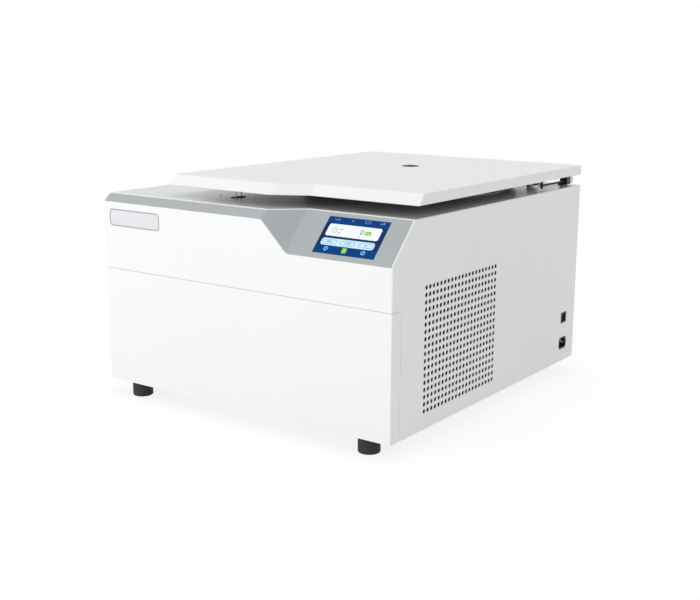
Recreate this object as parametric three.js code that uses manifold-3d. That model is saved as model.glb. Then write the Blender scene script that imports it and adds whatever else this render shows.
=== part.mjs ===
import * as THREE from "three";
import { mergeGeometries, mergeVertices } from "three/addons/utils/BufferGeometryUtils.js";
import Module from "manifold-3d";

// A refrigerated benchtop centrifuge: a sheet-metal cabinet on four rubber feet, a lid hinged at
// the rear over a round rotor chamber, and a touch screen on the sloping part of the front edge.
// All sizes are in millimetres. Pieces are placed from the cabinet's lower front left corner,
// with X to the right, Y to the back and Z up from the cabinet's underside. The last lines move
// the whole to its own origin, the middle of its footprint on the surface that it stands on.

// Clearances

const seat = 0.3; // between a piece and what it seats on
const overrun = 5; // how far a cutting shape runs past what it cuts

// Driving dimensions

const cabinet = {
  width: 575,
  depth: 612,
  height: 318,
  sheet: 2,
  hem: 4,
  corner_radius: 3,
  rear_return: 24,
  base_thickness: 3,
};

const front_edge = {
  bevel_run: 13,
  bevel_drop: 12,
  slope_run: 56,
  slope_drop: 59,
  bevel_right_space: 236,
  slope_length: 188,
  crease_shift: 1.2,
  wall: 3,
};

const seam = { height: 193, gap: 1.2, cover_return: 23 };

const foot = {
  radius: 17,
  height: 26,
  inset_x: 52,
  rear_inset_x: 64,
  inset_y: 23,
  chamfer: 1.5,
  recess_radius: 7,
  recess_depth: 8,
  sides: 20,
};

const side_vent = {
  first_y: 90,
  first_z: 28,
  pitch_y: 10.45,
  pitch_z: 11.05,
  columns: 21,
  rows: 18,
  hole_y: 6.2,
  hole_z: 6.8,
};

const left_vent = {
  first_y: 250,
  first_z: 70,
  pitch_y: 20,
  pitch_z: 86,
  columns: 12,
  rows: 2,
  hole_y: 8,
  hole_z: 66,
};

const rear_vent = {
  first_z: 76,
  pitch_x: 24,
  pitch_z: 88,
  columns: 15,
  rows: 2,
  hole_x: 9,
  hole_z: 70,
};

const plate = { left: 11.5, drop: 24, width: 115, height: 29, radius: 5, pocket: 1 };

const screen = {
  right_space: 90.5,
  centre_y: 28,
  width: 108,
  height: 64.8,
  glass: 2.6,
  radius: 1,
  module_border: 3,
  module_depth: 8,
  board_width: 92,
  board_height: 58,
  board_thickness: 1.6,
  chip_width: 18,
  chip_height: 18,
  chip_thickness: 3,
};

const chamber = {
  right_space: 232,
  rear_space: 208,
  radius: 160,
  depth: 168,
  wall: 2,
  fillet: 12,
  flange: 12,
  shaft_hole: 22,
  sides: 32,
};

const jacket = { thickness: 9, below_rim: 40, above_floor: 18 };

const insulation = { floor: 14, hole: 40 };

const barrel = { inner_radius: 196, wall: 6 };

const motor = {
  flange_radius: 95,
  flange_thickness: 8,
  body_radius: 68,
  below_bowl: 28,
  neck_radius: 30,
  neck_height: 8,
  bore_above_flange: 46.4,
  damper_inner: 28,
  damper_outer: 90,
  damper_height: 12,
  sides: 20,
};

const shaft = { radius: 12, top: 98, sides: 16 };

const rotor = {
  hub_radius: 32,
  hub_bottom: 52,
  hub_top: 108,
  arm_half_width: 12,
  arm_length: 113,
  arm_bottom: 66,
  arm_top: 102,
  trunnion_radius: 80,
  trunnion_height: 84,
  pin_radius: 5,
  pin_end: 41.5,
  pin_root: 66,
  pin_sides: 12,
  nut_radius: 17,
  nut_height: 14,
  nut_cap_radius: 9,
  nut_cap_height: 4,
  places: 4,
};

const bucket = {
  radius: 36,
  wall: 3,
  below: 72,
  above: 22,
  fillet: 10,
  rim_radius: 38,
  rim_height: 6,
  ear_radius: 9,
  ear_end: 49,
  ear_bore_start: 41,
  sides: 16,
};

const lid = {
  width: 456,
  gap: 18,
  thickness: 16,
  front_left: 35,
  front_right: 66.5,
  front_lean: 13.5,
  step_right_space: 250,
  step_length: 58,
  kink_shift: 1.5,
  wall: 2,
  inner_plate: 2,
  armour_radius: 185,
  armour_thickness: 8,
  liner_radius: 187,
  liner_drop: 9,
  gasket_inner: 163,
  gasket_outer: 186,
  port_radius: 15.5,
  port_flange: 3,
  port_sight_radius: 12,
  port_sides: 20,
};

const hinge = {
  rear_inset: 8.5,
  height: 9,
  pin_radius: 3,
  knuckle_radius: 7,
  arm_inset: 14,
  arm_width: 11,
  arm_length: 20,
  leaf_thickness: 2.5,
  bracket_width: 9,
  bracket_length: 11,
  bracket_foot_length: 15,
  bracket_foot_height: 3,
  rod_radius: 1.5,
  rod_reach: 110,
  rod_height: 7.5,
  stud_radius: 2,
  stud_clearance: 2,
  stud_collar_radius: 2.8,
  sides: 12,
};

const gas_spring = {
  inset: 67,
  stud_reach: 60.5,
  stud_height: 8,
  stud_radius: 4,
  stud_tip: 5,
  lug_clearance: 2,
  lug_thickness: 4,
  foot_rear_space: 52,
  foot_z: 38,
  tube_radius: 9,
  tube_length: 170,
  bore_depth: 140,
  rod_radius: 4,
  rod_inside: 130,
  end_radius: 6,
  end_length: 14,
  eye_radius: 9,
  eye_width: 10,
  eye_neck: 6,
  foot_plate_width: 6,
  foot_plate_length: 30,
  slot_width: 16,
  slot_rear_space: 22,
  slot_length: 56,
  sides: 10,
};

const latch = {
  x: 212,
  y: 95,
  slot_width: 10,
  slot_length: 24,
  wire_radius: 1.3,
  leg_offset: 6.5,
  bar_drop: 20,
  flange_width: 18,
  flange_length: 26,
  flange_thickness: 2,
  frame_left: 162,
  frame_right: 254,
  frame_half_width: 15,
  frame_drop: 60,
  frame_sheet: 2,
  pivot_dx: 18,
  pivot_drop: 44,
  pivot_radius: 3,
  hook_thickness: 4,
  hook_boss_radius: 8,
  finger_height: 5,
  finger_reach: 4,
  hook_neck_width: 7,
  release_angle: 25,
  motor_length: 36,
  motor_height: 26,
  motor_drop: 32,
  motor_inside: 14,
  sides: 8,
};

const inlet = {
  rear_space: 46,
  z: 33.5,
  width: 30,
  height: 22,
  corner: 4.5,
  flange: 2,
  body_width: 27,
  body_height: 19.5,
  depth: 24,
  socket_width: 24,
  socket_height: 16,
  socket_depth: 17,
  pin_width: 2,
  pin_height: 4,
  pin_length: 14,
  pin_spacing: 14,
  earth_shift: 3,
};

const rocker = {
  rear_space: 46,
  z: 81,
  width: 22,
  height: 19.5,
  flange: 2,
  body_width: 20,
  body_height: 17.5,
  depth: 18,
  pocket_width: 15,
  pocket_height: 14,
  pocket_depth: 9,
  paddle_width: 13.6,
  paddle_height: 12.4,
  paddle_depth: 4,
  pivot_depth: 4.6,
  pivot_radius: 1,
  tilt: 9,
  sides: 10,
};

const compressor = {
  x: 148,
  y: 112,
  radius: 62,
  height: 168,
  shoulder: 30,
  waist: 90,
  waist_radius: 65,
  waist_height: 5,
  foot_width: 150,
  foot_length: 104,
  foot_thickness: 3,
  leg_radius: 9,
  leg_height: 12,
  leg_inset: 14,
  port_z: 120,
  port_radius: 7,
  port_reach: 72,
  sides: 18,
};

const condenser = {
  inset: 8,
  thickness: 30,
  front: 80,
  behind_fan: 30,
  height: 228,
  fins: 26,
  fin_gap: 4,
  fin_depth: 8,
  end_wall: 6,
};

const fan = {
  barrel_space: 1,
  z: 118,
  size: 172,
  thickness: 30,
  rim: 6,
  hub_radius: 20,
  hub_length: 12,
  tip_clearance: 4,
  blade_width: 20,
  blade_thickness: 2.4,
  blade_pitch: 32,
  blades: 5,
  motor_radius: 19,
  motor_depth: 5,
  spoke_width: 8,
  spoke_depth: 4,
  spokes: 3,
  spindle_radius: 3,
  sides: 20,
};

const controller = {
  left: 10,
  barrel_space: 27,
  front: 230,
  length: 210,
  height: 150,
  fins: 12,
  fin_gap: 9,
  fin_depth: 14,
  end_wall: 12,
};

const pipe = { radius: 4, run_y: 38, run_z: 212, drop_x: 250, entry_run: 30, steps: 26, sides: 8 };

// Materials

const finish = (color, roughness, metalness) =>
  new THREE.MeshStandardMaterial({ color, roughness, metalness });
const materials = {
  white_paint: finish(0xf1f1f2, 0.45, 0),
  grey_plastic: finish(0xb4babd, 0.5, 0),
  grey_deck: finish(0x9c9da0, 0.2, 0),
  badge: finish(0xd9dadb, 0.3, 0.6),
  screen_glass: finish(0x123f86, 0.12, 0),
  black_rubber: finish(0x161617, 0.85, 0),
  black_plastic: finish(0x1b1c1e, 0.5, 0),
  dark_metal: finish(0x2c2d30, 0.4, 0.7),
  liner_grey: finish(0x2a2b2d, 0.5, 0.1),
  stainless: finish(0xc4c6c8, 0.28, 1),
  steel: finish(0x9a9da0, 0.4, 0.9),
  zinc_plate: finish(0xa9adb0, 0.45, 0.8),
  aluminium: finish(0xb9bcc0, 0.35, 0.9),
  copper: finish(0xb87245, 0.35, 1),
  foam: finish(0xe6dfc4, 0.95, 0),
  circuit: finish(0x1d5a39, 0.6, 0),
};

// Solids

const wasm = await Module();
wasm.setup();

// A closed geometry as a solid with shared corners and its faces pointing out.
function toSolid(geometry) {
  const bare = geometry.clone();
  bare.deleteAttribute("normal");
  bare.deleteAttribute("uv");
  const merged = mergeVertices(bare);
  const places = merged.attributes.position.array;
  const triangles = [];
  const [a, b, c] = [new THREE.Vector3(), new THREE.Vector3(), new THREE.Vector3()];
  let volume = 0;
  for (let i = 0; i < merged.index.count; i += 3) {
    const corners = [0, 1, 2].map((k) => merged.index.getX(i + k));
    if (new Set(corners).size < corners.length) continue;
    triangles.push(...corners);
    a.fromArray(places, 3 * corners[0]);
    b.fromArray(places, 3 * corners[1]);
    c.fromArray(places, 3 * corners[2]);
    volume += a.dot(b.cross(c));
  }
  if (volume < 0) triangles.reverse();
  const mesh = new wasm.Mesh({
    numProp: 3,
    vertProperties: Float32Array.from(places),
    triVerts: Uint32Array.from(triangles),
  });
  return new wasm.Manifold(mesh);
}

function toGeometry(solid) {
  const { vertProperties, triVerts } = solid.getMesh();
  const geometry = new THREE.BufferGeometry();
  geometry.setAttribute("position", new THREE.BufferAttribute(vertProperties, 3));
  geometry.setIndex(new THREE.BufferAttribute(triVerts, 1));
  geometry.computeVertexNormals();
  return geometry;
}

const join = (...solids) => solids.reduce((whole, solid) => whole.add(solid));
const cut = (solid, ...tools) => tools.reduce((rest, tool) => rest.subtract(tool), solid);
const repeat = (count, make) => Array.from({ length: count }, (_, index) => make(index));
const radians = (degrees) => THREE.MathUtils.degToRad(degrees);

// Boxes between two values on each axis, given in either order.
function boxGeometry(x, y, z) {
  const spans = [x, y, z].map(([from, to]) => Math.abs(to - from));
  const middles = [x, y, z].map(([from, to]) => (from + to) / 2);
  return new THREE.BoxGeometry(...spans).translate(...middles);
}
const block = (x, y, z) => toSolid(boxGeometry(x, y, z));
const blocks = (places) => toSolid(mergeGeometries(places.map((place) => boxGeometry(...place))));
const around = (middle, size) => [middle - size / 2, middle + size / 2];

// An outline stands in the plane across its axis: x, y for axis z; y, z for axis x; x, z for axis y.
const [along_x, along_y, along_z, against_y] = [
  [1, 0, 0],
  [0, 1, 0],
  [0, 0, 1],
  [0, -1, 0],
].map((direction) => new THREE.Vector3(...direction));
const frames = {
  x: new THREE.Matrix4().makeBasis(along_y, along_z, along_x),
  y: new THREE.Matrix4().makeBasis(along_x, along_z, against_y),
  z: new THREE.Matrix4(),
};
function prism(axis, outline, [from, to]) {
  const shape = new THREE.Shape(outline.map(([u, v]) => new THREE.Vector2(u, v)));
  const geometry = new THREE.ExtrudeGeometry(shape, { depth: to - from, bevelEnabled: false });
  const start = axis === "y" ? -to : from;
  return toSolid(geometry.translate(0, 0, start).applyMatrix4(frames[axis]));
}

// Outlines

const rectangle = ([u0, u1], [v0, v1]) => [[u0, v0], [u1, v0], [u1, v1], [u0, v1]];
const circle = (radius, sides, [u, v] = [0, 0]) =>
  repeat(sides, (i) => {
    const angle = (2 * Math.PI * i) / sides;
    return [u + radius * Math.cos(angle), v + radius * Math.sin(angle)];
  });

// An outline with its corners rounded to the radii given in the same order.
const arc_steps = 3;
function rounded(outline, radii) {
  return outline.flatMap((point, i) => {
    const radius = Array.isArray(radii) ? radii[i] : radii;
    if (!radius) return [point];
    const corner = new THREE.Vector2(...point);
    const before = new THREE.Vector2(...outline.at(i - 1)).sub(corner).normalize();
    const after = new THREE.Vector2(...outline[(i + 1) % outline.length]).sub(corner).normalize();
    const half = before.angleTo(after) / 2;
    const middle = before.clone().add(after).normalize();
    const centre = corner.clone().addScaledVector(middle, radius / Math.sin(half));
    const start = corner.clone().addScaledVector(before, radius / Math.tan(half)).sub(centre);
    const turn = Math.sign(start.cross(middle)) * (2 * half - Math.PI) * -1;
    const origin = new THREE.Vector2(0, 0);
    return repeat(arc_steps + 1, (step) => {
      const spoke = start.clone().rotateAround(origin, -(turn * step) / arc_steps);
      return centre.clone().add(spoke).toArray();
    });
  });
}

// A profile of radius and height turned round the Z axis at x, y.
function turned(profile, sides, [x, y] = [0, 0]) {
  const points = profile.map(([radius, height]) => new THREE.Vector2(radius, height));
  const touching = profile.at(0)[0] === 0 && profile.at(-1)[0] === 0;
  if (!touching) points.push(points[0].clone());
  const geometry = new THREE.LatheGeometry(points, sides);
  return toSolid(geometry.rotateX(Math.PI / 2).translate(x, y, 0));
}
const ring = (inner, outer, [bottom, top], sides, centre) =>
  turned([[inner, bottom], [outer, bottom], [outer, top], [inner, top]], sides, centre);

// A solid between two outlines of as many points, at two heights.
function loft(lower, bottom, upper, top) {
  const count = lower.length;
  const flat = lower.map(([x, y]) => new THREE.Vector2(x, y));
  const faces = THREE.ShapeUtils.triangulateShape(flat, []);
  const places = [...lower.map(([x, y]) => [x, y, bottom]), ...upper.map(([x, y]) => [x, y, top])];
  const index = faces.flatMap(([i, j, k]) => [k, j, i, i + count, j + count, k + count]);
  lower.forEach((_, i) => {
    const next = (i + 1) % count;
    index.push(i, next, next + count, i, next + count, i + count);
  });
  const geometry = new THREE.BufferGeometry();
  geometry.setAttribute("position", new THREE.Float32BufferAttribute(places.flat(), 3));
  geometry.setIndex(index);
  return toSolid(geometry);
}

// Scene graph

const model = new THREE.Group();
function add(name, solid, material, parent = model) {
  const mesh = new THREE.Mesh(toGeometry(solid), materials[material]);
  mesh.name = name;
  parent.add(mesh);
}
function group(position, parent = model) {
  const holder = new THREE.Group();
  holder.position.set(...position);
  parent.add(holder);
  return holder;
}

// Places that several pieces share

const deck_top = cabinet.height;
const deck_underside = cabinet.height - cabinet.sheet;
const base_top = cabinet.base_thickness;
const chamber_floor = deck_top - chamber.depth;
const chamber_axis = [cabinet.width - chamber.right_space, cabinet.depth - chamber.rear_space];
const inlet_y = cabinet.depth - inlet.rear_space;
const rocker_y = cabinet.depth - rocker.rear_space;
const plate_x = [plate.left, plate.left + plate.width];
const plate_z = [cabinet.height - plate.drop - plate.height, cabinet.height - plate.drop];
const sides = { left: (distance) => distance, right: (distance) => cabinet.width - distance };
const lid_left = cabinet.width - lid.width;
const lid_sides = { left: (distance) => lid_left + distance, right: sides.right };
const lid_underside = deck_top + lid.gap;
const lid_top = lid_underside + lid.thickness;
const inner_plate_bottom = lid_underside + seat;
const inner_plate_top = inner_plate_bottom + lid.inner_plate;
const liner_bottom = lid_underside - lid.liner_drop;
const hinge_y = cabinet.depth - hinge.rear_inset;
const hinge_z = deck_top + hinge.height;

// Front upper edge
// A narrow bevel on the left and a deep slope on the right meet in a slanting cheek. Each is a
// plane. What lies in front of the planes, moved inwards by an inset, is cut away.

const bevel_end = cabinet.width - front_edge.bevel_right_space;
const slope_start = cabinet.width - front_edge.slope_length;
const bevel_low = new THREE.Vector3(bevel_end, 0, cabinet.height - front_edge.bevel_drop);
const slope_low = new THREE.Vector3(slope_start, 0, cabinet.height - front_edge.slope_drop);
const bevel_high = new THREE.Vector3(
  bevel_end + front_edge.crease_shift,
  front_edge.bevel_run,
  cabinet.height,
);
const bevel_normal = new THREE.Vector3(0, -front_edge.bevel_drop, front_edge.bevel_run).normalize();
const slope_normal = new THREE.Vector3(0, -front_edge.slope_drop, front_edge.slope_run).normalize();
const cheek_normal = slope_low.clone().sub(bevel_low).cross(bevel_high.clone().sub(bevel_low)).normalize();

function before(point, normal, inset) {
  const reach = 2 * (cabinet.width + cabinet.depth);
  const geometry = new THREE.BoxGeometry(reach, reach, reach).translate(0, 0, reach / 2);
  const turn = new THREE.Quaternion().setFromUnitVectors(along_z, normal);
  const place = point.clone().addScaledVector(normal, -inset);
  return toSolid(geometry.applyQuaternion(turn).translate(...place));
}
function frontCut(inset) {
  const slope = before(slope_low, slope_normal, inset).intersect(before(bevel_low, cheek_normal, inset));
  return before(bevel_low, bevel_normal, inset).add(slope);
}

// Cabinet

function vents(pattern, along, place) {
  return blocks(
    repeat(pattern.columns * pattern.rows, (i) => {
      const column = i % pattern.columns;
      const row = Math.floor(i / pattern.columns);
      const u = pattern[`first_${along}`] + column * pattern[`pitch_${along}`];
      const z = pattern.first_z + row * pattern.pitch_z;
      return place(around(u, pattern[`hole_${along}`]), around(z, pattern.hole_z));
    }),
  );
}

// The radius of a rear corner as far inside the cabinet as the inset.
const rearCorner = (inset) => Math.max(cabinet.corner_radius - inset, 0);

// The side wall with its round rear corner and the return behind it, as a solid block.
function sideBlock(x, inset, past, heights) {
  const { depth, rear_return, sheet } = cabinet;
  const front = sheet + seat - past;
  const outline = [
    [x(inset), front],
    [x(inset), depth - inset],
    [x(rear_return + past), depth - inset],
    [x(rear_return + past), front],
  ];
  return prism("z", rounded(outline, [0, rearCorner(inset), 0, 0]), heights);
}

function sidePanel(x, top_cut) {
  const { sheet, hem, height } = cabinet;
  const through = [-overrun, height + overrun];
  const inside = cut(sideBlock(x, sheet, overrun, [-overrun, height - sheet]), frontCut(top_cut + sheet));
  const notch = block(
    [x(-overrun), x(cabinet.rear_return + overrun)],
    [-overrun, seam.cover_return + seam.gap],
    [-overrun, seam.height + seam.gap],
  );
  const inboard = sideBlock(x, hem, overrun, through);
  return cut(sideBlock(x, 0, 0, [0, height]), inside, inboard, frontCut(top_cut), notch);
}

function buildCabinet() {
  const { width, depth, height, sheet, hem, base_thickness, rear_return } = cabinet;
  const wall_reach = [-overrun, sheet + overrun];
  const inner = sheet + seat;

  const floor_outline = rectangle([inner, width - inner], [inner, depth - inner]);
  const floor_corner = rearCorner(inner);
  add(
    "base_plate",
    prism("z", rounded(floor_outline, [0, 0, floor_corner, floor_corner]), [0, base_thickness]),
    "zinc_plate",
  );

  const inlet_hole = prism(
    "x",
    rounded(
      rectangle(around(inlet_y, inlet.width + 2 * seat), around(inlet.z, inlet.height + 2 * seat)),
      inlet.corner + seat,
    ),
    [sides.right(sheet + overrun), sides.right(-overrun)],
  );
  const rocker_hole = block(
    [sides.right(-overrun), sides.right(sheet + overrun)],
    around(rocker_y, rocker.width + 2 * seat),
    around(rocker.z, rocker.height + 2 * seat),
  );
  const right_holes = vents(side_vent, "y", (y, z) => [wall_reach.map(sides.right), y, z]);
  const right_panel = cut(sidePanel(sides.right, 0), right_holes, inlet_hole, rocker_hole);
  add("right_side_panel", right_panel, "white_paint");

  const left_holes = vents(left_vent, "y", (y, z) => [wall_reach.map(sides.left), y, z]);
  add("left_side_panel", cut(sidePanel(sides.left, front_edge.wall + seat), left_holes), "white_paint");

  const pocket = prism(
    "y",
    rounded(rectangle(plate_x, plate_z), plate.radius),
    [-overrun, plate.pocket],
  );
  const upper_front = block([0, width], [0, sheet], [seam.height + seam.gap, height]);
  add("upper_front_panel", cut(upper_front, frontCut(0), pocket), "white_paint");

  const cover = block([0, width], [0, seam.cover_return], [0, seam.height]);
  const cover_inside = block(
    [sheet, width - sheet],
    [sheet, seam.cover_return + overrun],
    [-overrun, seam.height + overrun],
  );
  add("lower_front_cover", cut(cover, cover_inside), "white_paint");

  const first_x = (width - (rear_vent.columns - 1) * rear_vent.pitch_x) / 2;
  const rear_wall = [depth - sheet - overrun, depth + overrun];
  const rear_holes = vents({ ...rear_vent, first_x }, "x", (x, z) => [x, rear_wall, z]);
  const rear_span = [rear_return + seat, width - rear_return - seat];
  const rear = block(rear_span, [depth - hem, depth], [0, height]);
  const rear_inside = block(rear_span, [0, depth - sheet], [-overrun, height - sheet]);
  add("rear_panel", cut(rear, rear_inside, rear_holes), "white_paint");
}

function buildDeck() {
  const { width, depth, sheet, hem } = cabinet;
  const reach = [deck_underside - overrun, deck_top + overrun];
  const outline = rectangle([hem + seat, width - hem - seat], [sheet, depth - hem - seat]);
  const corner = rearCorner(hem + seat);
  const deck = prism("z", rounded(outline, [0, 0, corner, corner]), [deck_underside, deck_top]);
  const opening_radius = chamber.radius + chamber.wall + seat;
  const opening = prism("z", circle(opening_radius, chamber.sides, chamber_axis), reach);
  const latch_slot = block(around(latch.x, latch.slot_width), around(latch.y, latch.slot_length), reach);
  const slot_rear = depth - gas_spring.slot_rear_space;
  const slot_y = [slot_rear - gas_spring.slot_length, slot_rear];
  const spring_slots = Object.values(lid_sides).map((x) =>
    block(around(x(gas_spring.inset), gas_spring.slot_width), slot_y, reach),
  );
  const front = frontCut(front_edge.wall + seat);
  add("top_deck", cut(deck, front, opening, latch_slot, ...spring_slots), "grey_deck");
}

function buildFeet() {
  const { radius, height, inset_x, rear_inset_x, inset_y, chamfer } = foot;
  const { recess_radius, recess_depth } = foot;
  const profile = [
    [0, 0],
    [radius, 0],
    [radius, chamfer - height],
    [radius - chamfer, -height],
    [recess_radius, -height],
    [recess_radius, recess_depth - height],
    [0, recess_depth - height],
  ];
  const rows = [
    ["front", inset_x, inset_y],
    ["rear", rear_inset_x, cabinet.depth - inset_y],
  ];
  for (const [end, inset, y] of rows) {
    for (const [side, x] of Object.entries(sides)) {
      const holder = group([x(inset), y, 0]);
      add(`foot_${end}_${side}`, turned(profile, foot.sides), "black_rubber", holder);
    }
  }
}

// Front edge moulding, screen and plate

const screen_place = new THREE.Vector3(
  cabinet.width - screen.right_space,
  screen.centre_y,
  slope_low.z + (screen.centre_y * front_edge.slope_drop) / front_edge.slope_run,
);
const slope_angle = Math.atan2(front_edge.slope_drop, front_edge.slope_run);

function inSlope(solid_geometry) {
  return solid_geometry.rotateX(slope_angle).translate(...screen_place);
}

function buildFrontEdge() {
  const { sheet, hem, width, height, depth } = cabinet;
  const window_width = screen.width + 2 * seat;
  const window_height = screen.height + 2 * seat;
  const window_hole = new THREE.BoxGeometry(window_width, window_height, 2 * overrun);
  const shell = cut(frontCut(front_edge.wall), frontCut(0));
  const limits = block([0, width - hem - seat], [sheet + seat, depth], [0, height]);
  add("control_bezel", cut(shell.intersect(limits), toSolid(inSlope(window_hole))), "grey_plastic");

  const holder = group(screen_place.toArray());
  holder.rotation.x = slope_angle;
  const glass = rounded(rectangle(around(0, screen.width), around(0, screen.height)), screen.radius);
  add("touch_screen", prism("z", glass, [-screen.glass, 0]), "screen_glass", holder);

  const module_top = -front_edge.wall - seat;
  const module_bottom = module_top - screen.module_depth;
  const module_size = [screen.width + 2 * screen.module_border, screen.height + 2 * screen.module_border];
  add(
    "display_module",
    block(around(0, module_size[0]), around(0, module_size[1]), [module_bottom, module_top]),
    "dark_metal",
    holder,
  );

  const board_top = module_bottom - seat;
  const board_bottom = board_top - screen.board_thickness;
  const board_z = [board_bottom, board_top];
  const board = block(around(0, screen.board_width), around(0, screen.board_height), board_z);
  const chip_z = [board_bottom - screen.chip_thickness, board_bottom];
  const chips = [-screen.chip_width, screen.chip_width].map((x) =>
    block(around(x, screen.chip_width), around(0, screen.chip_height), chip_z),
  );
  add("control_board", join(board, ...chips), "circuit", holder);

  const badge = rounded(
    rectangle([plate_x[0] + seat, plate_x[1] - seat], [plate_z[0] + seat, plate_z[1] - seat]),
    plate.radius - seat,
  );
  add("name_plate", prism("y", badge, [0, plate.pocket - seat]), "badge");
}

// Chamber

const bowl_outer = chamber.radius + chamber.wall;
const jacket_inner = bowl_outer + seat;
const jacket_outer = jacket_inner + jacket.thickness;
const barrel_outer = barrel.inner_radius + barrel.wall;

function buildChamber() {
  const { radius, wall, fillet, flange, shaft_hole } = chamber;
  const rim_bottom = deck_top + seat;
  const rim_top = rim_bottom + wall;
  const profile = [
    [shaft_hole, chamber_floor - wall],
    [bowl_outer, chamber_floor - wall],
    [bowl_outer, rim_bottom],
    [bowl_outer + flange, rim_bottom],
    [bowl_outer + flange, rim_top],
    [radius, rim_top],
    [radius, chamber_floor],
    [shaft_hole, chamber_floor],
  ];
  const radii = [0, fillet + wall, 0, 0, 0, 0, fillet, 0];
  add("chamber_bowl", turned(rounded(profile, radii), chamber.sides, chamber_axis), "stainless");

  const jacket_heights = [chamber_floor + jacket.above_floor, deck_top - jacket.below_rim];
  const jacket_ring = ring(jacket_inner, jacket_outer, jacket_heights, chamber.sides, chamber_axis);
  add("evaporator_jacket", jacket_ring, "copper");

  const foam_floor = chamber_floor - wall - seat;
  const foam_outer = barrel.inner_radius - seat;
  const foam = [
    [insulation.hole, foam_floor - insulation.floor],
    [foam_outer, foam_floor - insulation.floor],
    [foam_outer, deck_underside - seat],
    [jacket_outer + seat, deck_underside - seat],
    [jacket_outer + seat, foam_floor],
    [insulation.hole, foam_floor],
  ];
  add("chamber_insulation", turned(foam, chamber.sides, chamber_axis), "foam");

  const barrel_heights = [base_top + seat, deck_underside - seat];
  const barrel_ring = ring(barrel.inner_radius, barrel_outer, barrel_heights, chamber.sides, chamber_axis);
  add("guard_barrel", barrel_ring, "steel");
}

// Drive motor and rotor

function buildDrive() {
  const damper_top = base_top + seat + motor.damper_height;
  add(
    "motor_damper",
    ring(motor.damper_inner, motor.damper_outer, [base_top + seat, damper_top], motor.sides, chamber_axis),
    "black_rubber",
  );

  const flange_bottom = damper_top + seat;
  const flange_top = flange_bottom + motor.flange_thickness;
  const body_top = chamber_floor - motor.below_bowl;
  const neck_top = body_top + motor.neck_height;
  const bore_bottom = flange_top + motor.bore_above_flange;
  const bore = shaft.radius + seat;
  const housing = [
    [0, flange_bottom],
    [motor.flange_radius, flange_bottom],
    [motor.flange_radius, flange_top],
    [motor.body_radius, flange_top],
    [motor.body_radius, body_top],
    [motor.neck_radius, body_top],
    [motor.neck_radius, neck_top],
    [bore, neck_top],
    [bore, bore_bottom],
    [0, bore_bottom],
  ];
  add("motor_housing", turned(housing, motor.sides, chamber_axis), "dark_metal");

  const shaft_heights = [bore_bottom + seat, chamber_floor + shaft.top];
  add("motor_shaft", prism("z", circle(shaft.radius, shaft.sides, chamber_axis), shaft_heights), "steel");

  const spin = group([...chamber_axis, chamber_floor]);
  const bore_top = shaft.top + seat;
  const hub_profile = [
    [bore, rotor.hub_bottom],
    [rotor.hub_radius, rotor.hub_bottom],
    [rotor.hub_radius, rotor.hub_top],
    [0, rotor.hub_top],
    [0, bore_top],
    [bore, bore_top],
  ];
  const hub = turned(hub_profile, motor.sides);
  const bore_hole = prism("z", circle(bore, motor.sides), [rotor.hub_bottom - overrun, bore_top]);
  const arm = boxGeometry(
    [0, rotor.arm_length],
    around(0, 2 * rotor.arm_half_width),
    [rotor.arm_bottom, rotor.arm_top],
  );
  const pin_place = [rotor.trunnion_radius, rotor.trunnion_height];
  const pin_outline = circle(rotor.pin_radius, rotor.pin_sides, pin_place);
  const step = (2 * Math.PI) / rotor.places;
  const turnAll = (solid) => {
    const shape = toGeometry(solid);
    return repeat(rotor.places, (i) => toSolid(shape.clone().rotateZ(i * step)));
  };
  const arms = repeat(rotor.places, (i) => toSolid(arm.clone().rotateZ((i + 0.5) * step)));
  const pins = [
    [rotor.pin_end, rotor.pin_root],
    [-rotor.pin_root, -rotor.pin_end],
  ].flatMap((span) => turnAll(prism("y", pin_outline, span)));
  add("swing_rotor", cut(join(hub, ...arms, ...pins), bore_hole), "aluminium", spin);

  const nut_bottom = rotor.hub_top + seat;
  const nut_top = nut_bottom + rotor.nut_height;
  const nut_sides = 6;
  const nut = prism("z", circle(rotor.nut_radius, nut_sides), [nut_bottom, nut_top]);
  const cap_z = [nut_bottom, nut_top + rotor.nut_cap_height];
  const cap = prism("z", circle(rotor.nut_cap_radius, latch.sides), cap_z);
  add("rotor_nut", join(nut, cap), "stainless", spin);

  repeat(rotor.places, (i) => {
    const holder = group([0, 0, 0], spin);
    holder.rotation.z = i * step;
    const hanging = group([rotor.trunnion_radius, 0, rotor.trunnion_height], holder);
    add(`bucket_${i + 1}`, bucketShape(), "aluminium", hanging);
  });
}

function bucketShape() {
  const { radius, wall, below, above, fillet, rim_radius, rim_height } = bucket;
  const profile = [
    [0, -below],
    [radius, -below],
    [radius, above - rim_height],
    [rim_radius, above - rim_height],
    [rim_radius, above],
    [radius - wall, above],
    [radius - wall, wall - below],
    [0, wall - below],
  ];
  const cup = turned(rounded(profile, [0, fillet, 0, 0, 0, 0, fillet - wall, 0]), bucket.sides);
  const ears = prism("y", circle(bucket.ear_radius, latch.sides), [-bucket.ear_end, bucket.ear_end]);
  const inside = prism("z", circle(radius - wall / 2, bucket.sides), [-below, above]);
  const bore_outline = circle(rotor.pin_radius + seat, rotor.pin_sides);
  const bores = [
    [bucket.ear_bore_start, bucket.ear_end + overrun],
    [-bucket.ear_end - overrun, -bucket.ear_bore_start],
  ].map((span) => prism("y", bore_outline, span));
  return join(cup, cut(ears, inside, ...bores));
}

// Lid

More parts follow.
